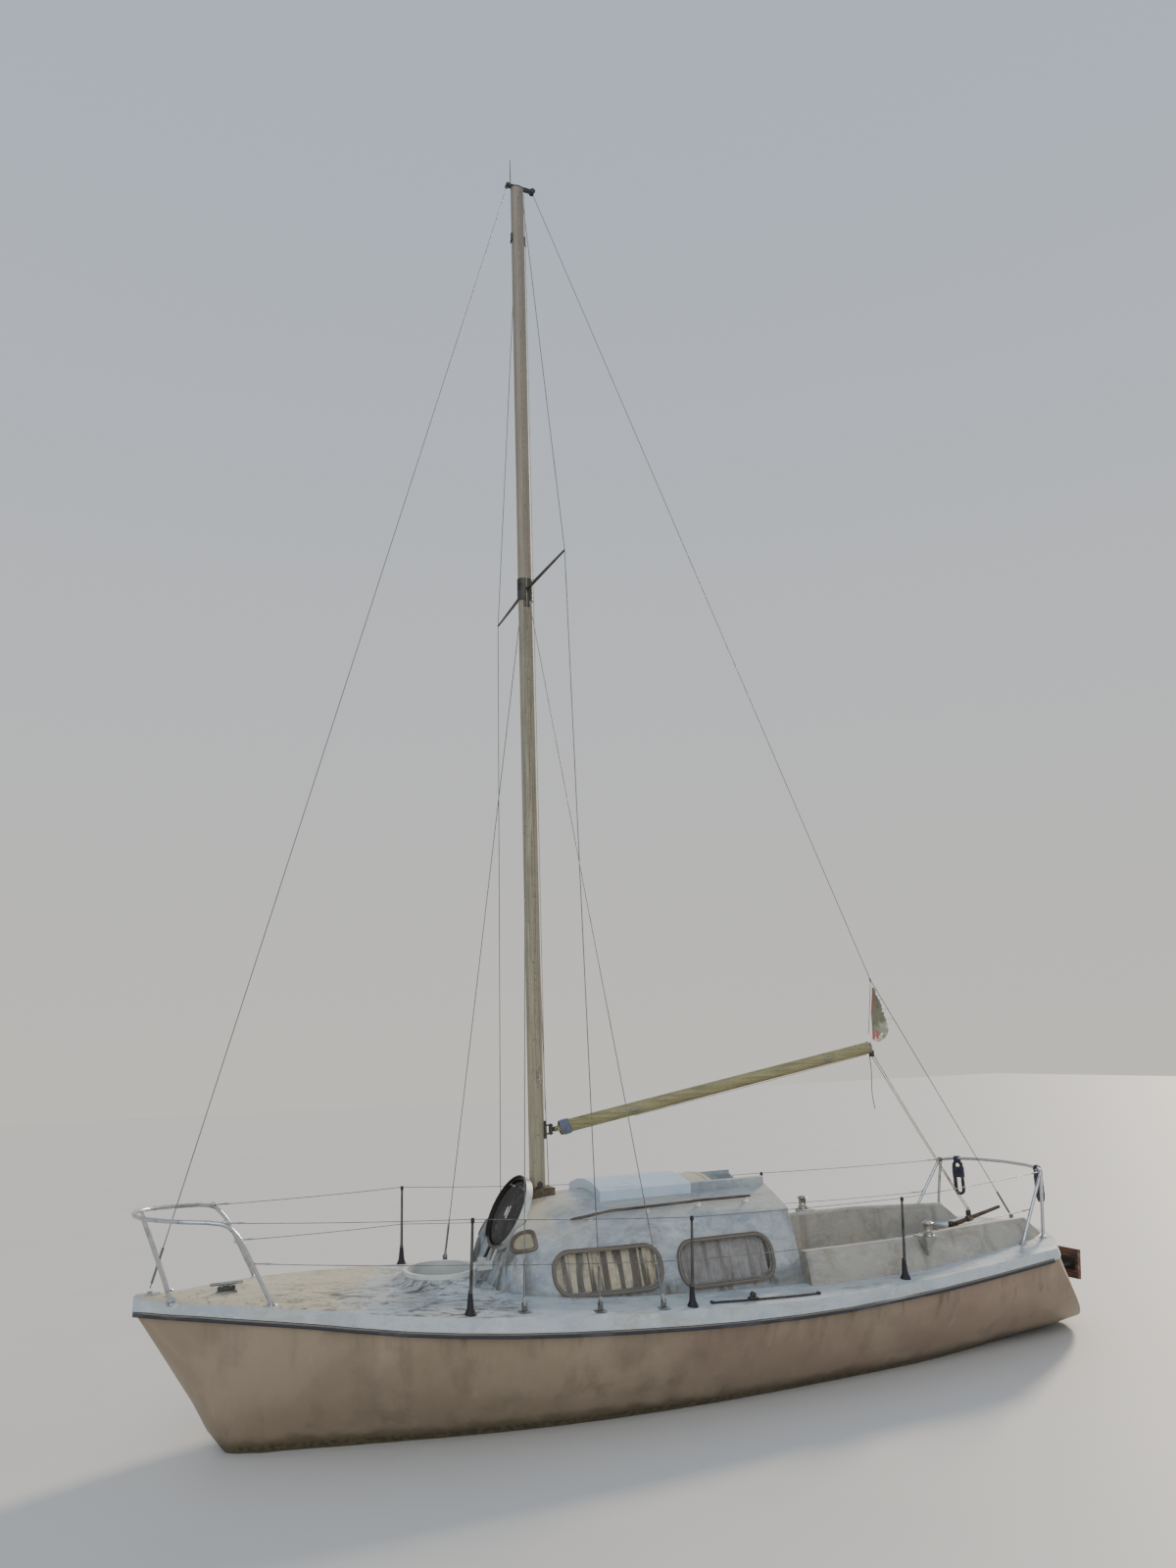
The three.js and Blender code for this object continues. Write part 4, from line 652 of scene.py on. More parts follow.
def stanchion_look(name, foot):
    """Dull post with a rubber boot at its foot and a black cap; foot is the height of the deck."""
    look = Look(name, "5b5c5c")
    height = look.maths("SUBTRACT", look.axis(2), foot)
    look.stain("3b3833", (30, 6, (1, 1, 0.3)), 0.5, 0.66, 0.8)
    look.stain("5f4126", (60, 5), 0.6, 0.7, 0.5)
    black = look.maths("MAXIMUM", look.step(height, 0.122, 0.118), look.step(height, 0.5, 0.504))
    look.paint(black, "17171a")
    look.set("Metallic", look.maths("MULTIPLY_ADD", black, -0.85, 0.85))
    look.gloss(black, 0.34, 0.64)
    look.relief((150, 5), 0.15, 0.0004)
    return look


def pane_look(name, colour, alpha):
    look = Look(name, colour)
    dust = look.step((16, 7), 0.42, 0.7)
    look.paint(look.times(dust, 0.6), "8b8471")
    look.gloss(dust, 0.08, 0.4)
    runs = look.step((22, 6, (1, 1, 0.08)), 0.5, 0.7, 0.08)
    look.set("Alpha", look.maths("ADD", look.maths("MULTIPLY_ADD", dust, 0.16, runs), alpha))
    look.relief((3, 2), 0.1, 0.002)
    return look


def cloth_look(name, colour, dark, threads=420.0):
    look = Look(name, colour, 0.9)
    look.stain(dark, (6, 6), 0.46, 0.66)
    warp, weft = [look.maths("SINE", look.times(look.axis(k), threads * tau)) for k in (0, 2)]
    look.relief(look.times(warp, weft), 0.3, 0.0004)
    look.set("Sheen Weight", 0.25)
    return look


def curtain_look(name, colour, shade, fold_shade, low, high):
    """Curtain with pleats, and bands of painted shade between its lighter folds."""
    look = cloth_look(name, colour, shade)
    # Painted shade: darker vertical bands between the lighter folds.
    look.stain(fold_shade, (19, 3, (1, 0, 0.06), 0.5), low, high)
    return look


def rope_look(name, colour, dark):
    look = Look(name, colour, 0.85)
    look.stain(dark, (40, 6), 0.45, 0.65)
    look.relief((900, 3), 0.5, 0.0006)
    look.stain("4d4a3a", (8, 5), 0.5, 0.66, 0.5)
    look.set("Sheen Weight", 0.2)
    return look


def ensign_look():
    """Faded bunting with pale and red patches at its torn lower end."""
    look = cloth_look("old_bunting", "75745f", "5c5b48", 300.0)
    wobble = look.maths("MULTIPLY_ADD", look.noise(16, 5), 0.09, -0.045)
    across, up = [look.maths("ADD", look.axis(k), wobble) for k in (0, 2)]
    for code, height, length, strength in (
        ("8c5550", (2.4, 2.46), (-2.29, -2.26), 0.7), ("b9bda3", (2.39, 2.33), (-2.29, -2.32), 0.9),
        ("8b8f78", (2.36, 2.32), (-2.25, -2.27), 0.8), ("a8625c", (2.31, 2.28), (-2.32, -2.29), 0.85),
    ):
        look.stain(code, up, *height, strength, look.step(across, *length))
    look.stain("3f3e31", (26, 6), 0.55, 0.68, 0.6)
    return look


def foam_look():
    look = Look("hatch_lining", "2a2724")
    look.stain("3d3a34", (7, 7), 0.48, 0.64)
    look.stain("6a6557", (24, 7), 0.6, 0.7, 0.7)
    look.relief((320, 4), 0.7, 0.0012)
    look.gloss((9, 4), 0.7, 0.95)
    return look


LOOKS = {
    "hull": hull_look(),
    "deck": deck_look(),
    "roof": roof_look(),
    "cockpit": coaming_look(),
    "hood": hood_look("hood_gelcoat", "b4c3d0", "c8d3db", "98a5ae"),
    "hatch": hood_look("hatch_gelcoat", "b3a78f", "c7bda6", "8b806a"),
    "pale": hood_look("pale_gelcoat", "c4c6c0", "d4d5cf", "a2a49d"),
    "lid": lid_look(),
    "teak": wood("weathered_teak", "544a40", "332b24", "8b8173", (1, 14, 14)),
    "board": wood("varnished_board", "6b4a2e", "40291a", "7f6243", (10, 1, 10), 0.5),
    "pad": wood("board_wood", "795a48", "41332b", "9a7f6a", (12, 1, 12), 0.75),
    "step": wood("step_wood", "5f5241", "39301f", "7d715c", (8, 1, 8)),
    "tiller": wood("tiller_wood", "5a4a3c", "32271e", "857462", (1, 16, 16)),
    "mast": spar("mast_metal", "96907a", "6a6350", "bbb49a", (6, 6, 0.12), "827870"),
    "boom": spar("boom_metal", "968f68", "6f6848", "b0a983", (0.12, 6, 6)),
    "steel": metal("rail_steel", "b9bcbe", "85878a", 0.24, 1, 0.35),
    "dark": metal("dull_steel", "4c4a47", "2c2b2a", 0.48, 0.75, 0.7),
    "chrome": metal("winch_chrome", "a8a49c", "5a564f", 0.26, 1, 0.6, "5a4a33"),
    "alloy": metal("fitting_alloy", "9b9c9a", "63645f", 0.42, 0.9, 0.4),
    "wire": wire_look(),
    "strake": rubber("strake_rubber", "2f3136", "494c52"),
    "seal": rubber("window_rubber", "5a5147", "776c5d"),
    "bead": rubber("window_bead", "7a7267", "5f574d"),
    "rubber": rubber("black_rubber", "1d1d1f", "34353a"),
    "bottom": rubber("antifouling", "3a2f28", "4c4a33", 0.8),
    "pane": pane_look("window_pane", "6c6961", 0.14),
    "front_pane": pane_look("front_pane", "b5ab8b", 0.6),
    "rope_dark": rope_look("dark_rope", "2f3142", "191a24"),
    "rope_grey": rope_look("grey_rope", "4b4a47", "2e2d2b"),
    "rope_pale": rope_look("pale_rope", "a49c86", "756d59"),
    "rope_tan": rope_look("tan_rope", "8e8062", "5d5139"),
    "curtain_cream": curtain_look("curtain_lit", "efe3c6", "d2c19b", "6e665b", 0.47, 0.54),
    "curtain_grey": curtain_look("curtain_grey", "b5b3b2", "a19d9b", "8a8583", 0.5, 0.64),
    "bandage": cloth_look("wound_cloth", "636a7a", "454a58"),
    "ensign": ensign_look(),
    "foam": foam_look(),
}
# Looks of the CAD nodes; the others wear the fitting alloy
NODE_LOOKS = keyed({
    "hull": "hull", "deck": "deck", "strake": "rubbing_strake", "bottom": "keel rudder",
    "roof": "coachroof hatch_runners", "board": "companionway_boards", "hood": "hatch_hood",
    "hatch": "sliding_hatch", "pale": "forehatch_coaming", "lid": "forehatch_lid", "cockpit": "cockpit_well",
    "step": "mast_step", "mast": "mast", "boom": "boom", "steel": "stemhead_fitting pulpit pushpit",
    "dark": "masthead_fitting spreaders gooseneck_bracket gooseneck_toggle outboard_bracket",
    "pad": "outboard_pad", "tiller": "tiller", "wire": "forestay backstay", "ensign": "ensign",
})
for side, _ in SIDES:
    NODE_LOOKS[f"{side}_coaming"] = "cockpit"
    NODE_LOOKS[f"{side}_handrail"] = "teak"
    for number in (1, 2):
        NODE_LOOKS[f"{side}_window_frame_{number}"] = "seal"
        NODE_LOOKS[f"{side}_window_pane_{number}"] = "pane"
    for name in ("forward_lower", "cap", "aft_lower"):
        NODE_LOOKS[f"{side}_{name}_shroud"] = "wire"
    for name in STANCHIONS:
        node = f"{side}_stanchion_{name}"
        LOOKS[node] = stanchion_look(node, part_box(node)[0][2])
        NODE_LOOKS[node] = node
# Nodes whose edges are rounded, by the radius in metres
ROUNDED = keyed({
    0.006: "hatch_hood sliding_hatch port_coaming starboard_coaming",
    0.005: "hatch_runners",
    0.004: "mast_step",
    0.003: "forehatch_coaming port_handrail starboard_handrail outboard_pad tiller",
    0.002: "companionway_boards bow_cleat",
    0.0015: "outboard_bracket",
})


def dress_nodes():
    """Materials, welded corners and rounded edges on the CAD nodes."""
    for name, item in NODES.items():
        mesh = item.data
        mesh.materials.clear()
        mesh.materials.append(LOOKS[NODE_LOOKS.get(name, "alloy")].material)
        if "custom_normal" in mesh.attributes:
            mesh.attributes.remove(mesh.attributes["custom_normal"])
        mesh.shade_smooth()
        item.modifiers.new("weld", "WELD").merge_threshold = 0.00005
        if name in ROUNDED:
            bevel = item.modifiers.new("round", "BEVEL")
            bevel.width = ROUNDED[name]
            bevel.segments = 3
            bevel.limit_method = "ANGLE"
            bevel.angle_limit = radians(40)
            bevel.use_clamp_overlap = True
            bevel.harden_normals = False
            item.modifiers.new("flat", "WEIGHTED_NORMAL").keep_sharp = True
        else:
            split = item.modifiers.new("edges", "EDGE_SPLIT")
            split.split_angle = radians(34)
            split.use_edge_sharp = False


def front_windows():
    """Oval windows in the coachroof's forward corners: a rubber seal and a pane."""
    middle_y, middle_z, half_y, half_z = 0.395, 1.046, 0.07725, 0.06386
    back = 0.874
    count = 48
    for side, sign in SIDES:
        rim = []
        for turn in turns(count):
            start = xyz(1.6, sign * (middle_y + half_y * cos(turn)), middle_z + half_z * sin(turn))
            place = ROOF.ray_cast(start, -AHEAD)[0]
            if place is None or place.x < back:
                out = spoke(turn, ABEAM * sign, UP)
                start = xyz(back - 0.004, sign * middle_y, middle_z) + out * 0.5
                place = ROOF.ray_cast(start, -out)[0]
            rim.append(place)
        for _ in range(3):
            rim = [(rim[k - 1] + 2 * rim[k] + rim[(k + 1) % count]) / 4 for k in range(count)]
        middle = sum(rim, Vector()) / count
        out = xyz(0.75, sign * 0.5, 0.43).normalized()
        seal = Shapes().tube([p + out * 0.003 for p in rim], 0.01, 10, closed=True)
        seal.tube([p.lerp(middle, 0.16) + out * 0.006 for p in rim], 0.006, 8, closed=True)
        seal.piece(f"{side}_front_window_seal", "seal")
        parts = (0.25, 0.5, 0.75, 0.97)
        rings = [[middle.lerp(p, part) + out * 0.01 * (1 - part * part) for p in rim] for part in parts]
        pane = Shapes().dish(middle + out * 0.01, rings).piece(f"{side}_front_window_pane", "front_pane")
        pane.modifiers.new("thick", "SOLIDIFY").thickness = 0.004


def curtains():
    """Pleated curtains on a wire behind the four cabin windows."""
    rows, columns = 12, 150
    for side, sign in SIDES:
        for number, middle, height, half_x, half_z in WINDOWS:
            fore, aft = middle - half_x + 0.012, middle + half_x - 0.012
            top, low = height + half_z + 0.012, height - half_z - 0.008
            pleats, depth, look = 15, 0.008, "curtain_cream"
            if number == 2:
                pleats, depth, look = 22, 0.0055, "curtain_grey"
            # Two low and two high points of the wall
            corners = [(middle + dx, height + dz) for dz in (-0.06, 0.06) for dx in (-0.2, 0.2)]
            a, b, c, d = [beside(side, sign, x, z) for x, z in corners]
            grid = []
            for down, z in enumerate(steps(top, low, rows)):
                up = (z - a.z) / (c.z - a.z)
                first, last = a.y + (c.y - a.y) * up, b.y + (d.y - b.y) * up
                row = []
                for x, turn in zip(steps(fore, aft, columns), steps(0, tau, columns)):
                    wall = abs(first + (last - first) * (x - a.x) / (b.x - a.x))
                    swell = noise.noise(xyz(x * 9, z * 3, sign)) * 1.6
                    fold = depth * (0.7 + 0.6 * down / rows) * sin(turn * pleats + swell)
                    row.append(xyz(x, sign * (wall - 0.045 + fold), z + 0.002 * cos(turn * pleats)))
                grid.append(row)
            item = Shapes().grid(grid).piece(f"{side}_curtain_{number}", look, sharp=180.0)
            rail = sagging(grid[0][0] + UP * 0.003, grid[0][-1] + UP * 0.003, 0, 10)
            wire = Shapes().tube(rail, 0.0025, 6).piece(f"{side}_curtain_wire_{number}", "alloy")


def window_beads():
    """Bead round each cabin window, lying in its rubber frame."""
    grow, radius = 0.012, 0.105
    for side, sign in SIDES:
        beads = Shapes()
        for _, middle, height, half_x, half_z in WINDOWS:
            line = []
            for number, (right, up) in enumerate(((1, 1), (-1, 1), (-1, -1), (1, -1))):
                x = middle + right * (half_x + grow - radius)
                z = height + up * (half_z + grow - radius)
                for turn in steps(pi / 2 * number, pi / 2 * (number + 1), 8):
                    line.append(xyz(x, 0, z) + spoke(turn, AHEAD, UP) * radius)
            line = [beside(side, sign, p.x, p.z) for p in spaced([*line, line[0]], 0.02)[:-1]]
            beads.tube([p - ABEAM * sign * 0.001 for p in line], 0.0042, 8, closed=True)
        beads.piece(f"{side}_window_beads", "bead")


# Name, look, replaced nodes, sharp angle and section of the strips along the deck's edge
STRIPS = (
    ("strake_strip", "strake", ["rubbing_strake"], 50.0, (
        (-19, -17.5), (-5, -18), (-1.5, -16), (0, -11.5), (0, -5),
        (-1.5, -0.5), (-5, 1.5), (-19, 1.5),
    )),
    ("strake_bead", "bead", [], 38.0, (
        (-12, 1.6), (-3, 1.6), (-1, 3.5), (-1, 7.5), (-3, 9.5),
        (-12, 9.5),
    )),
    ("deck_edge_seam", "rubber", [], 38.0, (
        (-12, 9.6), (-4.2, 9.6), (-3.6, 11), (-4.2, 12.5), (-12, 12.5),
    )),
)


def edge_strips():
    """Rubbing strake, the bead on it and the dark seam above, along the strake's own outer edge."""
    height, half_gap, spacing = 0.016, 0.03, 0.05
    corners = {tuple(round(part, 4) for part in v.co) for v in NODES["rubbing_strake"].data.vertices}
    lines = []
    for _, sign in SIDES:
        edge = []
        for corner in sorted(corners):
            outer = Vector(corner)
            below = (*corner[:2], round(corner[2] - height, 4))
            if sign * outer.y < half_gap or below not in corners:
                continue
            while len(edge) > 1 and sign * (edge[-1] - edge[-2]).cross(outer - edge[-1]).z > 0:
                edge.pop()
            edge.append(outer)
        lines.append(spaced(edge, spacing))
    for name, look, replaced, sharp, section in STRIPS:
        Shapes().swept(lines[0], section).swept(lines[1], section).piece(name, look, "boat", replaced, sharp)


def filleted(points, reach):
    """Points of a bent tube: straight runs with a round bend at each corner, reach long on both sides."""
    line = [points[0]]
    for before, corner, after in zip(points, points[1:], points[2:]):
        size = min(reach, 0.48 * (before - corner).length, 0.48 * (after - corner).length)
        start = corner + (before - corner).normalized() * size
        end = corner + (after - corner).normalized() * size
        line += [start * (1 - t) ** 2 + corner * 2 * t * (1 - t) + end * t ** 2 for t in steps(0, 1, 8)]
    return [*line, points[-1]]


def bow_and_stern_rails():
    """Smoothly bent tubes of the bow and stern rails, with a flange under each leg."""
    for name, (legs, rail) in RAILS.items():
        half = [xyz(*p) for p in rail]
        back = [xyz(x, -y, z) for x, y, z in reversed(rail)]
        shape = Shapes().tube(filleted([*half, *back], 0.085), RAIL_RADIUS, 16)
        for _, sign in SIDES:
            for leg in legs:
                points = [xyz(x, sign * y, z) for x, y, z in leg]
                foot = points[-1]
                slope = (points[-2] - foot) / (points[-2].z - foot.z)
                deck, normal = under(DECK, foot.x, foot.y)
                for _ in range(3):
                    place = foot + slope * (deck.z - foot.z)
                    deck, normal = under(DECK, place.x, place.y)
                shape.tube(filleted([*points[:-1], place], 0.075), RAIL_RADIUS, 16)
                shape.turned(place - normal * 0.0005, normal, [
                    (0, 30), (4, 30), (5.5, 28.5), (6, 18), (22, 16.2), (24, 12.5),
                ], 28)
                for turn in turns(3, 0.3):
                    out = turn_to(AHEAD, normal) @ spoke(turn)
                    shape.screw(place + normal * 0.0052 + out * 0.0235, normal, 3.6)
        shape.piece(f"{name}_tubes", "steel", stands_for=[name])


def handrails():
    """Thin dark rails on pale feet, on the coachroof's sloping sides."""
    for side, sign in SIDES:
        line = []
        for x in steps(0.628, -0.733, 40):
            place, normal = under(ROOF, x, sign * HANDRAIL_Y)
            line.append(place + normal * 0.036)
        rail = Shapes().tube(line, [0.0065, *[0.0095] * 39, 0.0065], 12)
        rail.piece(f"{side}_handrail_bar", "teak", stands_for=[f"{side}_handrail"])
        feet = Shapes()
        for x in HANDRAIL_FEET:
            place, normal = under(ROOF, x, sign * HANDRAIL_Y)
            feet.turned(place - normal * 0.0005, normal, [
                (0, 19), (3, 19), (6, 12.5), (18, 9), (33, 8.8),
            ], 16)
        feet.piece(f"{side}_handrail_feet", "pale")


def hatch_plinth():
    """Moulded rise of the deck round the fore hatch's ring, fading out on the hinge's side."""
    half_x, half_y = FOREHATCH["half_x"], FOREHATCH["half_y"]
    hinge_x, fade = 1.17, 0.12
    rows = []
    for turn in turns(96):
        wall = xyz(FOREHATCH["x"], 0, 0) + spoke(turn, AHEAD * half_x, ABEAM * half_y)
        out = spoke(turn, AHEAD / half_x, ABEAM / half_y).normalized()
        high = min(max((wall.x - hinge_x) / fade, 0), 1)
        high = high * high * (3 - 2 * high)
        row = []
        for reach, part in (
            (-0.002, 1.0), (0.007, 1.0), (0.014, 0.96), (0.03, 0.76), (0.052, 0.44), (0.08, 0.16),
            (0.11, 0.03), (0.135, 0),
        ):
            place = wall + out * reach * (0.15 + 0.85 * high)
            deck, _ = under(DECK, place.x, place.y)
            full = FOREHATCH["top"] - 0.026 - deck.z
            row.append(deck + UP * ((0.001 + full * part) * high - 0.0006))
        rows.append(row)
    Shapes().grid(rows, closed=True).piece("forehatch_plinth", "deck", sharp=70.0)


def lifelines():
    """Two wires a side through the stanchions, with a fitting at each end."""
    lower_part = 0.52
    fittings = Shapes()
    for side, sign in SIDES:
        tops, middles = [], []
        for name, (x, y) in STANCHIONS.items():
            low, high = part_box(f"{side}_stanchion_{name}")
            foot = xyz(x, sign * y, low[2])
            head = xyz(x - 0.008, sign * (y + STANCHION_LEAN), high[2] - 0.008)
            tops.append(head)
            middles.append(foot.lerp(head, lower_part))
        for level, route in (
            ("upper", [xyz(2.8, sign * 0.446, 1.326), *tops, xyz(-3.262, sign * 0.59, 1.186)]),
            ("lower", [xyz(2.64, sign * 0.4555, 1.092), *middles, xyz(-3.091, sign * 0.622, 0.93)]),
        ):
            line = []
            for a, b in zip(route, route[1:]):
                line += sagging(a, b, 0.004 + 0.002 * (b - a).length)[:-1]
            Shapes().tube([*line, route[-1]], 0.0022, 6).piece(f"{side}_{level}_lifeline", "wire")
            for end, after in (route[:2], route[:-3:-1]):
                along = (after - end).normalized()
                fittings.turned(end + along * 0.004, along, [
                    (0, 4), (6, 6), (12, 6), (16, 4.2), (75, 4.2), (80, 5.8),
                    (100, 5.8), (105, 3.5), (118, 3),
                ], 10)
                fittings.hoop(end, along, along.cross(ABEAM).normalized(), 0.0165, 0.0165, 16, 0.0028, 6)
    fittings.piece("lifeline_fittings", "alloy")


def winches():
    """Ribbed winch drums on the coamings, each with its screws and a seal below."""
    for side, sign in SIDES:
        foot = xyz(WINCH[0], sign * WINCH[1], WINCH[2])
        drum = Shapes().turned(foot, UP, [
            (0, 43.5), (3, 43.8), (7, 42), (9, 37), (14, 35.5), (16, 39),
            (20, 40.5), (24, 38.5), (28, 32), (36, 27.5), (52, 25.8), (66, 27.2),
            (76, 31.8), (81, 38.5), (85, 41.2), (89, 40.5), (92, 36), (92.5, 30),
            (96.5, 28.5), (99, 21), (99.5, 13), (92, 11), (92, 2),
        ], 36)
        for turn in turns(12):
            rib = ((0.03, 0.032), (0.0275, 0.044), (0.0275, 0.058), (0.03, 0.07))
            drum.tube([foot + spoke(turn) * out + UP * z for out, z in rib], 0.0016, 6)
        for turn in turns(4, 0.5):
            drum.screw(foot + spoke(turn) * 0.0395 + UP * 0.0085, UP, 3)
        drum.piece(f"{side}_winch_drum", "chrome", stands_for=[f"{side}_winch"])
        pad = Shapes().turned(foot - UP * 0.0001, UP, [(0, 44.5), (1.2, 44.5), (1.4, 43)], 36)
        pad.piece(f"{side}_winch_base_seal", "rubber")


def deck_gear():
    """Jib tracks and their cars, chainplate covers, toggles, deck screws and a marker on one shroud."""
    track, cars, plates, toggles, screws = [Shapes() for _ in range(5)]
    for _, sign in SIDES:
        places = zip(steps(-0.111, -0.9, 24), steps(sign * 0.95, sign * 0.957, 24))
        line = [under(DECK, x, y)[0] for x, y in places]
        for a, b in zip(line, line[1:]):
            for height, width, thick in ((0.004, 0.02, 0.005), (0.0082, 0.026, 0.0036)):
                size = ((b - a).length + 0.0006, width, thick)
                track.block((a + b) / 2 + UP * height, size, 0.0012, turn_to(b - a))
        for place in line[1:24:3]:
            screws.screw(place + UP * 0.0098, UP, 3.6)
        for place in (line[0], line[-1]):
            track.block(place + UP * 0.008, (0.018, 0.03, 0.016), 0.003)
        car = line[9]
        turn = turn_to(line[10] - line[8])
        cars.block(car + UP * 0.0155, (0.062, 0.036, 0.013), 0.003, turn)
        eye = [turn @ spoke(angle, AHEAD * -0.016, UP * 0.022) for angle in steps(0, pi, 12)]
        cars.tube([car + UP * 0.02 + p for p in eye], 0.0042, 8)
        cars.turned(car + UP * 0.034 - turn @ ABEAM * 0.011, turn @ ABEAM, [
            (0, 12), (2, 19), (5, 20), (7, 13), (15, 13), (17, 20),
            (20, 19), (22, 12),
        ])
        for x, y, head in CHAINPLATES:
            place, normal = under(DECK, x, sign * (y - 0.012))
            turn = turn_to(AHEAD, normal)
            base = xyz(x, sign * y, place.z)
            pin = base + UP * 0.04
            aim = (xyz(head.x, sign * head.y, head.z) - pin).normalized()
            toggles.turned(pin - ABEAM * 0.013, ABEAM, [
                (0, 4), (1, 7.5), (4, 7.5), (5, 4.5), (21, 4.5), (22, 7.5),
                (25, 7.5), (26, 4),
            ], 12)
            upright = turn_to(aim, ABEAM) @ Matrix.Rotation(pi / 2, 3, "X")
            for part in (-1, 1):
                plate = base + normal * 0.0022 + ABEAM * part * 0.0185
                plates.block(plate, (0.072, 0.026, 0.004), 0.0012, turn)
                for along in (-0.026, 0.026):
                    screws.screw(base + normal * 0.004 + turn @ xyz(along, part * 0.0185, 0), normal, 4.2)
                cheek = pin + ABEAM * part * 0.0085 + aim * 0.012
                toggles.block(cheek, (0.04, 0.004, 0.016), 0.001, upright)
            for at, sides, profile in (
                (0.026, 6, [(0, 8.5), (2, 10.5), (12, 10.5), (14, 8.5)]),
                (0.212, 10, [(0, 8.5), (2, 10), (12, 10), (16, 6), (60, 5)]),
            ):
                toggles.turned(pin + aim * at, aim, profile, sides)
    track.piece("jib_tracks", "dark")
    cars.piece("jib_track_cars", "dark")
    plates.piece("chainplate_covers", "alloy")
    toggles.piece("shroud_toggles", "alloy")
    foot = xyz(CLEAT.x, CLEAT.y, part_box("bow_cleat")[0][2] + 0.0205)
    for dx, dy in ((-1, -1), (-1, 1), (1, -1), (1, 1)):
        screws.screw(foot + xyz(dx * 0.047, dy * 0.011, 0), UP, 4.2)
    screws.piece("deck_screws", "alloy")
    line = sagging(xyz(1.0835, 0.8485, 1.245), xyz(1.0785, 0.839, 1.285), 0, 6)
    tag = Shapes().tube(line, [0.0052, 0.0075, 0.0068, 0.0062, 0.0068, 0.0075, 0.0052], 12)
    tag.piece("shroud_marker", "pale")


def mast_gear():
    """Halyards, their cleats with rope turns, tangs, sheaves and the blocks at the mast's foot."""
    cleats, halyards, wraps, tangs, blocks = [Shapes() for _ in range(5)]
    for sign, x, z in ((1, 0.69, 2.07), (-1, 0.7, 1.93)):
        base = xyz(x, sign * 0.0405, z)
        out = ABEAM * sign
        cleats.block(base + out * 0.004, (0.018, 0.012, 0.052), 0.002)
        for dz in (-0.014, 0.014):
            cleats.turned(base + UP * dz, out, [(0, 7), (18, 5.5), (26, 5.5)], 12)
        horn = steps(-1, 1, 16)
        cleats.tube(
            [base + out * (0.03 + 0.01 * t * t) + UP * 0.06 * t for t in horn],
            [0.0035 + 0.0035 * (1 - abs(t)) for t in horn],
        )
        loops = []
        for k in range(0, 97, 2):
            turn = tau * k / 24
            wrap = k // 24
            place = base + out * (0.0175 + 0.0015 * sin(turn) + 0.003 * wrap)
            swing = (0.034 + 0.004 * wrap) * sin(turn / 2 + 0.4) * 0.9
            loops.append(place + xyz(0.013 * sin(turn), 0, swing))
        wraps.tube(spaced(smooth_line(loops, 4), 0.004), 0.0028, 7)
        tail = [
            loops[0], base + out * 0.012 + xyz(0.01, 0, 0.1), base + out * 0.007 + xyz(0.006, 0, 1.2),
            xyz(0.7, sign * 0.047, 5.2), xyz(0.704, sign * 0.0465, 9.47),
        ]
        halyards.tube(spaced(smooth_line(tail, 14), 0.12), 0.0028, 6)
        for x, profile in (
            (0.557, [(0, 22), (3, 24), (6, 17), (10, 24), (13, 22)]),
            (0.784, [(0, 15), (3, 16), (6, 10), (10, 16), (13, 15)]),
        ):
            tangs.turned(xyz(x, sign * 0.0125, 9.516), out, profile)
        place = xyz(0.7, sign * 0.066, 1.3205)
        blocks.block(place + UP * 0.003, (0.05, 0.03, 0.006), 0.0015)
        blocks.turned(place + xyz(0, -0.01, 0.024), ABEAM, [
            (0, 8), (1, 17), (4, 18), (6, 12), (14, 12), (16, 18),
            (19, 17), (20, 8),
        ], 18)
        for dx in (-0.018, 0.018):
            blocks.screw(place + xyz(dx, sign * 0.008, 0.006), UP, 3.8)
    aft = [xyz(0.634, 0.012, 9.46), xyz(0.6335, 0.014, 6), xyz(0.6335, 0.016, 2.6), xyz(0.636, 0.02, 1.83)]
    halyards.tube(spaced(smooth_line(aft, 10), 0.12), 0.0026, 6)
    for place, out in (
        (xyz(0.76, 0.01, 8.993), AHEAD), (xyz(0.634, 0, 8.994), -AHEAD), (xyz(0.7, 0.043, 5.655), ABEAM),
        (xyz(0.7, -0.043, 5.655), -ABEAM),
    ):
        tangs.block(place, (0.05, 0.005, 0.085) if out.y else (0.006, 0.024, 0.085), 0.0015)
        for dz in (-0.026, 0, 0.026):
            tangs.screw(place + UP * dz + out * 0.003, out, 4.2)
        if not out.y:
            tangs.hoop(place - UP * 0.052 + out * 0.006, ABEAM, UP, 0.01, 0.014, 16, 0.003, 7)
    cleats.piece("mast_cleats", "alloy")
    wraps.piece("halyard_turns", "rope_pale")
    halyards.piece("halyards", "rope_pale")
    tangs.piece("mast_tangs", "dark")
    blocks.piece("mast_foot_blocks", "dark")


def stadium(centre, u, v, run, radius, count):
    """Point of a closed stadium, count from 0 to 1 once round, straight runs along v."""
    arc = pi * radius
    gone = (count % 1.0) * 2 * (arc + run)
    half = 1
    if gone >= run + arc:
        gone -= run + arc
        half = -1
    if gone < run:
        return centre + (u * radius + v * (gone - run / 2)) * half
    return centre + (v * run / 2 + spoke((gone - run) / radius, u, v) * radius) * half


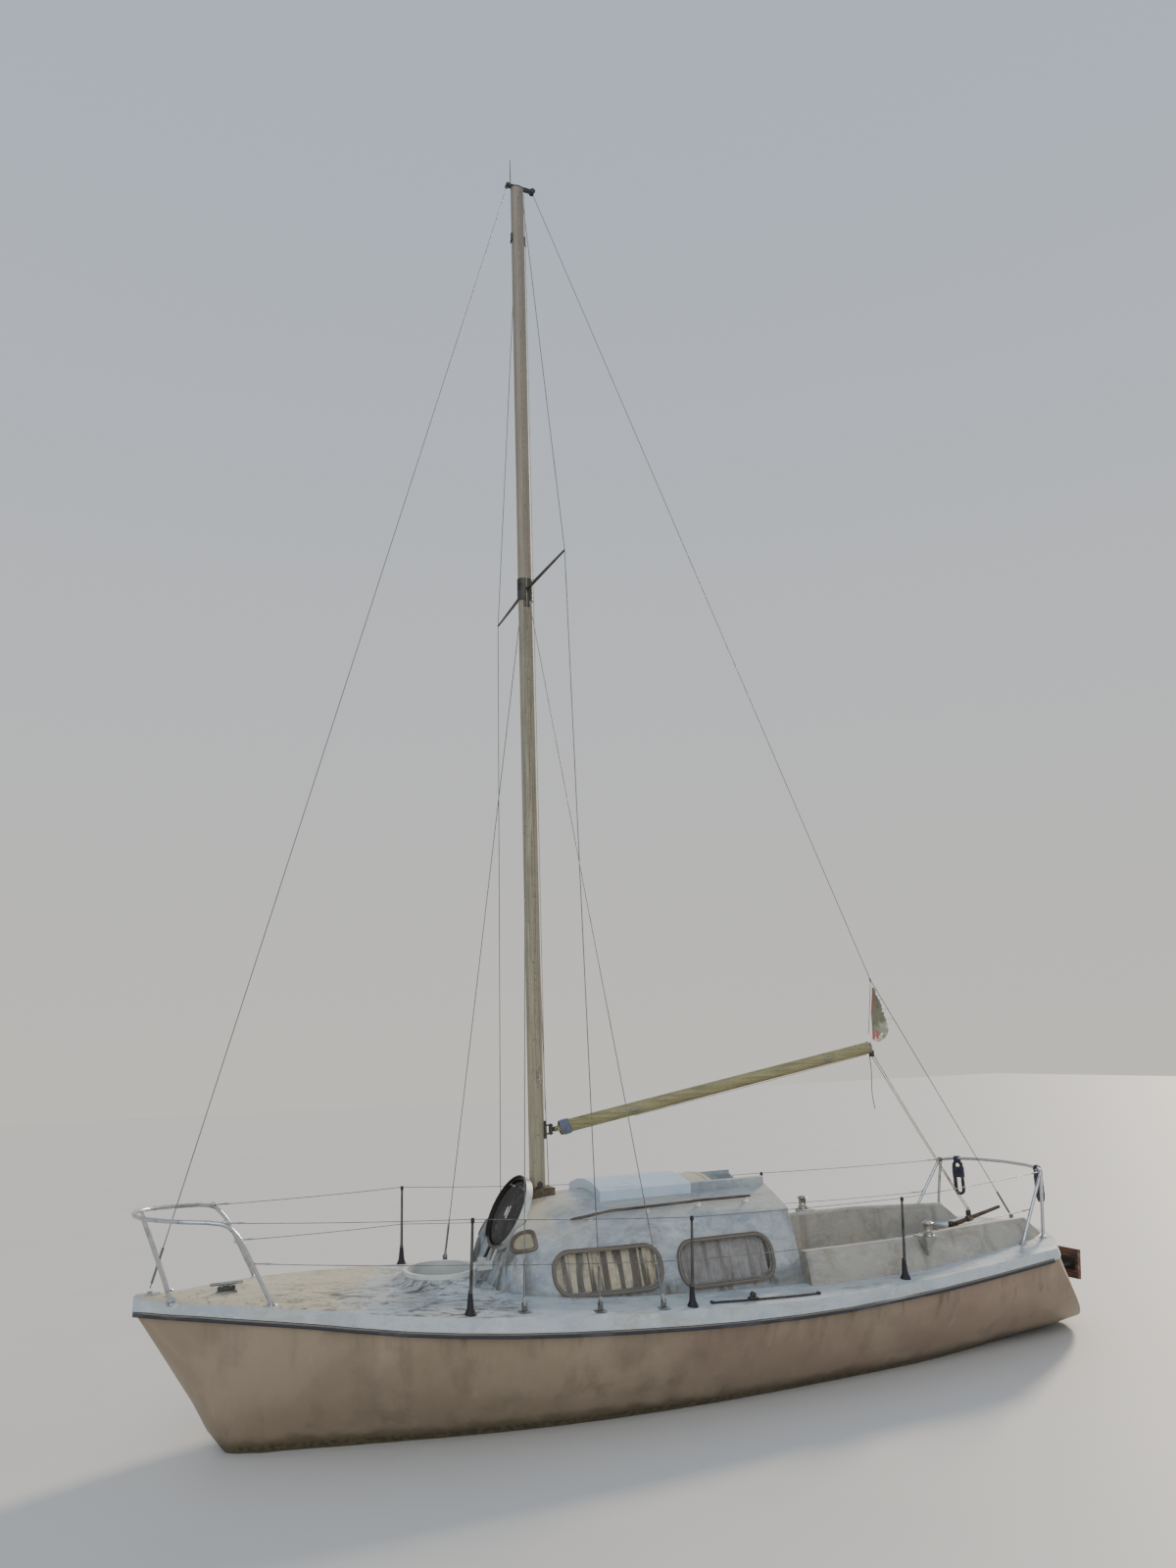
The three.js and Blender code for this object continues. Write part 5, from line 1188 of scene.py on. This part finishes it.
def bow_rope():
    """Turns of rope on the bow cleat."""
    radius, inner, pitch, rise, last = 0.004, 0.0175, 0.0086, 0.0088, 2
    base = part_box("bow_rope_hank")[0][2] + radius + 0.0006
    line = []
    for count in steps(0, 6, 264):
        layer = min(int(count / 2), last)
        part = count / 2 - layer
        out = part if layer % 2 == 0 else 1 - part
        level = layer + (max(0, part - 0.85) / 0.15 if layer < last else 0)
        centre = xyz(CLEAT.x, CLEAT.y, base + rise * level)
        line.append(stadium(centre, ABEAM, AHEAD, 2 * CLEAT_POST, inner + pitch * out, count))
    coil = Shapes().rope(line, radius, 12, 0.03, 0.22)
    coil = coil.piece("bow_rope", "rope_grey", stands_for=["bow_rope_hank"])


def stern_ropes():
    """Hanks of rope on the stern rail, each with its lashing."""
    pitch = 2 * HANK_ROPE + 0.0004
    for name, top, turn, width, length, rows, columns in STERN_HANKS:
        across = spoke(turn)
        deep = xyz(-across.y, across.x, 0)
        centre = top - UP * length / 2
        half_deep = pitch * rows / 2
        loops = rows * columns
        line = []
        for count in steps(0, loops, loops * 60):
            row = min(int(count / columns), rows - 1)
            part = count - row * columns
            column = min(max(part if row % 2 == 0 else columns - part, 0), columns - 1.0)
            shift = row + max(0, part - columns + 0.2) / 0.2 * (row < rows - 1) - (rows - 1) / 2
            wobble = noise.noise(xyz(count * 0.9, row, turn)) * 0.001
            size = width / 2 - HANK_ROPE - pitch * column
            middle = centre + deep * (shift * pitch + wobble)
            line.append(stadium(middle, across, UP, length - width, size, count))
        coil = Shapes().rope(spaced(line, 0.008), HANK_ROPE, 10, 0.042)
        coil = coil.piece(f"{name}_rope", "rope_dark", stands_for=[name])
        tie = Shapes()
        for k in range(10):
            place = top - UP * (0.062 + 0.0085 * k)
            tie.hoop(place, across, deep, width / 2 + 0.003, half_deep + 0.004, 40, 0.004, 8)
        for k in range(6):
            place = top + UP * 0.003 + across * 0.0085 * (k - 2.5)
            tie.hoop(place, deep, UP, half_deep + 0.003, 0.027, 40, 0.004, 8)
        tie.piece(f"{name}_lashing", "rope_dark")


def boom_rope():
    """Cord hanging from the boom's end, with a whipping on its own end."""
    radius, length, forward = 0.0035, 0.43, 0.014
    start = BOOM_PIVOT + BOOM_ALONG * BOOM_LENGTH + xyz(1, 0, -tan(BOOM_RISE)) * forward
    start -= UP * (BOOM_HIGH / 2 / cos(BOOM_RISE) + 0.0006)
    moves = ((0, 0, 0), (-0.004, 0.003, -0.3), (0.003, -0.003, -0.7), (-0.006, 0.002, -1))
    line = spaced(smooth_line([start + xyz(x, y, z * length) for x, y, z in moves], 12), 0.005)
    profile = [(0, 3), (1, 4), (12, 4), (13, 3.4)]
    hook = Shapes().turned(line[-1] + UP * 0.001, UP, profile, 12)
    hook = hook.piece("boom_end_whipping", "rope_pale", "boom")
    cord = Shapes().rope(line, radius, 10, 0.026)
    cord = cord.piece("boom_end_rope", "rope_grey", "boom", ["boom_end_cord"])


def sheet_gear():
    """Mainsheet with its two blocks and its lashing, the boom's strop and the tiller's lashing."""
    end = xyz(-2.196, 0, 2.214)
    low = xyz(-2.976, 0.048, 0.846)
    high = end + xyz(-0.004, 0, -0.062)
    falls = Shapes()
    for a, b, sag in (
        (xyz(0, 0.01, -0.052), xyz(0, -0.004, 0.018), 0.01),
        (xyz(-0.016, 0.018, -0.048), xyz(-0.012, 0.008, 0.018), 0.018),
    ):
        falls.rope(sagging(high + a, low + b, sag, 48), 0.0034, 8, 0.03)
    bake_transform(falls.piece("mainsheet", "rope_tan", None))
    line = sagging(low + xyz(-0.01, -0.012, 0.012), xyz(-3.236, -0.575, 1.196), 0.014, 32)
    lead = Shapes().rope(line, 0.0034, 8, 0.03)
    for k in range(4):
        place = xyz(-3.2625 - 0.002 * k, -0.59 + 0.008 * k, 1.187)
        lead.hoop(place, UP, xyz(0.55, 0.83, 0), 0.0165, 0.0165, 20, 0.0032, 7)
    lead.piece("mainsheet_lashing", "rope_tan")
    lower, upper = Shapes(), Shapes()
    for part in (-1, 1):
        lower.block(low + xyz(0, part * 0.009, 0), (0.036, 0.003, 0.04), 0.001)
        upper.block(high + xyz(-0.004, part * 0.01 + 0.006, -0.03), (0.032, 0.003, 0.052), 0.001)
    lower.turned(low + xyz(0, -0.0105, 0.002), ABEAM, [
        (0, 4), (2.5, 16), (6, 16), (10.5, 12), (15, 16), (18.5, 16), (21, 4),
    ])
    lower.hoop(low + xyz(-0.004, 0, 0.028), ABEAM, UP, 0.01, 0.012, 16, 0.003, 7)
    lower.piece("mainsheet_low_block", "dark")
    upper.turned(high + xyz(-0.004, -0.0045, -0.038), ABEAM, [
        (0, 4), (3, 15), (7, 15), (10.5, 11), (14, 15), (18, 15), (21, 4),
    ])
    upper.hoop(high + xyz(-0.004, 0.004, 0.004), AHEAD, UP, 0.01, 0.014, 16, 0.003, 7)
    bail = [spoke(angle, ABEAM * 0.033, UP * -0.05) for angle in steps(0, pi, 16)]
    upper.tube([end + xyz(0.016, 0, -0.012) + p for p in bail], 0.0032, 8)
    upper.piece("mainsheet_high_block", "dark", "boom")
    line = sagging(KINK + xyz(0.004, 0.004, -0.012), end + xyz(0.004, 0.004, 0.062), 0, 24)
    strop = Shapes().rope(line, 0.0026, 7, 0.024)
    for k in range(5):
        strop.hoop(KINK + xyz(0.0016 * k, 0, 0.006 * k - 0.012), AHEAD, ABEAM, 0.0062, 0.0062, 14, 0.0024, 6)
    strop.piece("boom_strop", "rope_grey")
    tiller = Shapes()
    for k in range(7):
        x = -3.000 - 0.0068 * k
        place = xyz(x, 0, 0.762 + (-2.85 - x) * tan(radians(11)))
        tiller.hoop(place, ABEAM, xyz(0.19, 0, 0.98), 0.0225, 0.0225, 24, 0.003, 7)
    tiller.piece("tiller_lashing", "rope_tan", "tiller")


def boom_gear():
    """Wound cloth at the boom's forward end, cleats on its sides, its cap's edge and screws, its outhaul."""
    along, up = BOOM_ALONG, BOOM_UP
    rows = []
    for count in steps(0, 3, 120):
        turn = tau * count
        thick = 0.0025 + 0.0022 * count
        row = []
        for edge in (-0.5, -0.25, 0, 0.25, 0.5):
            grow = thick + 0.0026 * noise.noise(xyz(turn * 1.6, edge * 9, 3.0))
            reach = 0.044 + 0.04 * count / 3 + edge * 0.046 + 0.008 * sin(turn * 0.5)
            drawn = min(max((0.04 - reach) / 0.028, 0), 1.0) ** 2
            place = BOOM_PIVOT + along * reach
            place += spoke(turn, ABEAM * (0.031 - 0.006 * drawn + grow), up * (0.046 - 0.02 * drawn + grow))
            row.append(place)
        rows.append(row)
    item = Shapes().grid(rows).piece("boom_cloth_strip", "bandage", "boom", sharp=180.0)
    gear = Shapes()
    for at, sign in ((0.62, 1), (2.35, 1), (2.35, -1)):
        out = ABEAM * sign
        base = BOOM_PIVOT + along * at + out * 0.0305
        gear.block(base + out * 0.002, (0.06, 0.008, 0.016), 0.0015, turn_to(along, up))
        horn = steps(-1, 1, 12)
        gear.tube(
            [base + out * (0.02 + 0.006 * abs(t)) + along * 0.055 * t for t in horn],
            [0.003 + 0.003 * (1 - abs(t)) for t in horn], 9,
        )
        for step in (-0.012, 0.012):
            gear.turned(base + along * step, out, [(0, 6), (20, 4.5)], 10)
    cap = BOOM_PIVOT + along * (BOOM_LENGTH - 0.02)
    gear.hoop(cap, ABEAM, up, 0.0325, 0.0475, 40, 0.003, 8)
    for turn in turns(6):
        place = cap + along * 0.01 + spoke(turn, ABEAM * 0.031, up * 0.046)
        gear.screw(place, spoke(turn, ABEAM, up), 3.6)
    gear.piece("boom_fittings", "alloy", "boom")
    low = BOOM_PIVOT + up * -0.0485
    outhaul = Shapes().tube(sagging(low + along * 0.62, low + along * 2.74, 0.006, 40), 0.0022, 6)
    outhaul.piece("boom_outhaul", "rope_pale", "boom")


def edge_at(chain, z):
    """Distance forward at which a chain of points passes height z."""
    for a, b in zip(chain, chain[1:]):
        if min(a.z, b.z) - 1e-9 <= z <= max(a.z, b.z) + 1e-9 and abs(a.z - b.z) > 1e-6:
            return a.x + (b.x - a.x) * (z - a.z) / (b.z - a.z)
    return chain[-1].x if z < chain[-1].z else chain[0].x


def ensign():
    """Tattered bunting on the backstay."""
    corners = [xyz(x, 0, z) for x, z in ENSIGN]
    fore, back = corners[1:5], [corners[1], corners[0], *corners[:3:-1]]
    top, low = max(p.z for p in corners), min(p.z for p in corners)
    rows, columns = 72, 22
    grid, holes = [], set()
    for row, z in enumerate(steps(top - 0.002, low + 0.002, rows)):
        right, left = edge_at(fore, z), edge_at(back, z)
        torn = 0.01 * noise.noise(xyz(row * 0.41, 0.3, 1.7)) + 0.006 * noise.noise(xyz(row * 1.3, 7.1, 0.2))
        line = []
        for column in range(columns + 1):
            part = column / columns
            sunlit_edge = torn * (part - 0.6) * 2.5 if column > columns * 0.6 else 0
            x = right + (left + sunlit_edge + 0.004 - right) * part
            fold = 0.0052 * sin(x * 92 + z * 16 + 1.4 * noise.noise(xyz(x * 14, 2.0, z * 9)))
            line.append(xyz(min(x, -2.2268), fold, z))
            worn = column > columns * 0.8 and noise.noise(xyz(row * 0.23, column * 0.31, 4.0) * 1.3) > 0.46
            frayed = row > rows * 0.82 and noise.noise(xyz(column * 0.7, row * 0.12, 8.0)) > 0.14
            if worn or frayed:
                holes.add((row, column))
        grid.append(line)
    item = Shapes().grid(grid, holes=holes).piece("ensign_cloth", "ensign", "boat", ["ensign"], 180.0)
    ties = Shapes()
    for z in (2.63, 2.55, 2.47, 2.39):
        hem = edge_at(back, z)
        stay = KINK.x + (STAY_FOOT.x - KINK.x) * (z - KINK.z) / (STAY_FOOT.z - KINK.z)
        ties.hoop(xyz((hem + stay) / 2, 0, z), AHEAD, ABEAM, (hem - stay) / 2 + 0.009, 0.006, 24, 0.0016, 6)
    string = ties.piece("ensign_ties", "rope_pale")
    width, high = max(p.x for p in corners) - min(p.x for p in corners), top - low
    area = abs(sum(0.5 * (a.x * b.z - b.x * a.z) for a, b in zip(corners, [*corners[1:], corners[0]])))
    area = min(max(area, 0.31 * width * high), width * high)


def fore_hatch():
    """Foam lining inside the open lid, its catches and its grip."""
    u, v, w = LID_ALONG, ABEAM, LID_OUT
    rings = []
    for size, height in (
        (0.3, -0.0015), (0.6, -0.002), (0.86, -0.0015), (0.955, 0), (0.985, 0.004), (0.99, 0.012),
        (0.985, 0.0165),
    ):
        line = ring(LID_MIDDLE + w * height, u, v, 0.219 * size, 0.256 * size, 64)
        rings.append([p + w * 0.0016 * noise.noise(p * 17.0) for p in line])
    foam = Shapes().dish(LID_MIDDLE - w * 0.001, rings, True)
    foam.piece("forehatch_lining", "foam", "forehatch_lid", sharp=60.0)
    catches = Shapes()
    for sign in (1, -1):
        base = LID_MIDDLE + v * sign * 0.1 + u * 0.172 - w * 0.001
        catches.block(base - w * 0.003, (0.016, 0.04, 0.006), 0.0015, LID_TURN)
        catches.turned(base - w * 0.004, -w, [
            (0, 6), (4, 6), (6, 4.5), (18, 4.5), (20, 7), (26, 7),
            (27, 4),
        ], 14)
        for dv in (-0.013, 0.013):
            catches.screw(base + v * dv - w * 0.006, -w, 3)
    catches.piece("forehatch_catches", "alloy", "forehatch_lid")
    grip = Shapes()
    grip.block(LID_MIDDLE - w * 0.003, (0.086, 0.036, 0.004), 0.0015, LID_TURN)
    bail = ((0.03, 0.004), (0.03, 0.013), (0.022, 0.018), (-0.022, 0.018), (-0.03, 0.013), (-0.03, 0.004))
    grip.tube(smooth_line([LID_MIDDLE + u * at - w * depth for at, depth in bail], 5), 0.0034, 9)
    for at in (-0.038, 0.038):
        grip.screw(LID_MIDDLE + u * at - w * 0.005, -w, 3)
    grip.piece("forehatch_grip", "steel", "forehatch_lid")


def light_and_floor():
    world = bpy.data.worlds.new("studio")
    sky = Graph(world)
    height = sky.node("SeparateXYZ", (sky.node("TexCoord", (), "Generated"),), 2)
    part = sky.node("MapRange", {"Value": height, "From Min": -0.05, "From Max": 0.8})
    colour = sky.node("MixRGB", {"Fac": part, "Color1": linear("dcd8d0"), "Color2": linear("b9c6d8")})
    sky.feed(sky.tree.nodes["Background"].inputs["Color"], colour)
    bpy.context.scene.world = world
    for name, energy, direction, spread, code in (
        ("key", 2.9, xyz(-0.8, -0.5, 0.45), 9.0, "ffeed6"),
        ("fill", 1.1, xyz(0.35, 0.85, 0.55), 50.0, "e2e9f3"),
    ):
        data = bpy.data.lights.new(name, "SUN")
        data.energy = energy
        data.angle = radians(spread)
        data.color = linear(code)[:3]
        put(name, data).rotation_euler = direction.to_track_quat("Z", "Y").to_euler()

    mesh = bpy.data.meshes.new("floor")
    mesh.from_pydata([(-40, -40, 0), (40, -40, 0), (40, 40, 0), (-40, 40, 0)], [], [(0, 1, 2, 3)])
    look = Look("floor", "cfccc6", 0.6)
    look.stain("c6c3bd", (0.7, 4), 0.4, 0.7, 0.3)
    mesh.materials.append(look.material)
    put("floor", mesh)


dress_nodes()
front_windows()
window_beads()
curtains()
edge_strips()
bow_and_stern_rails()
handrails()
hatch_plinth()
lifelines()
winches()
deck_gear()
mast_gear()
bow_rope()
stern_ropes()
boom_rope()
sheet_gear()
boom_gear()
ensign()
fore_hatch()
set_camera()
light_and_floor()
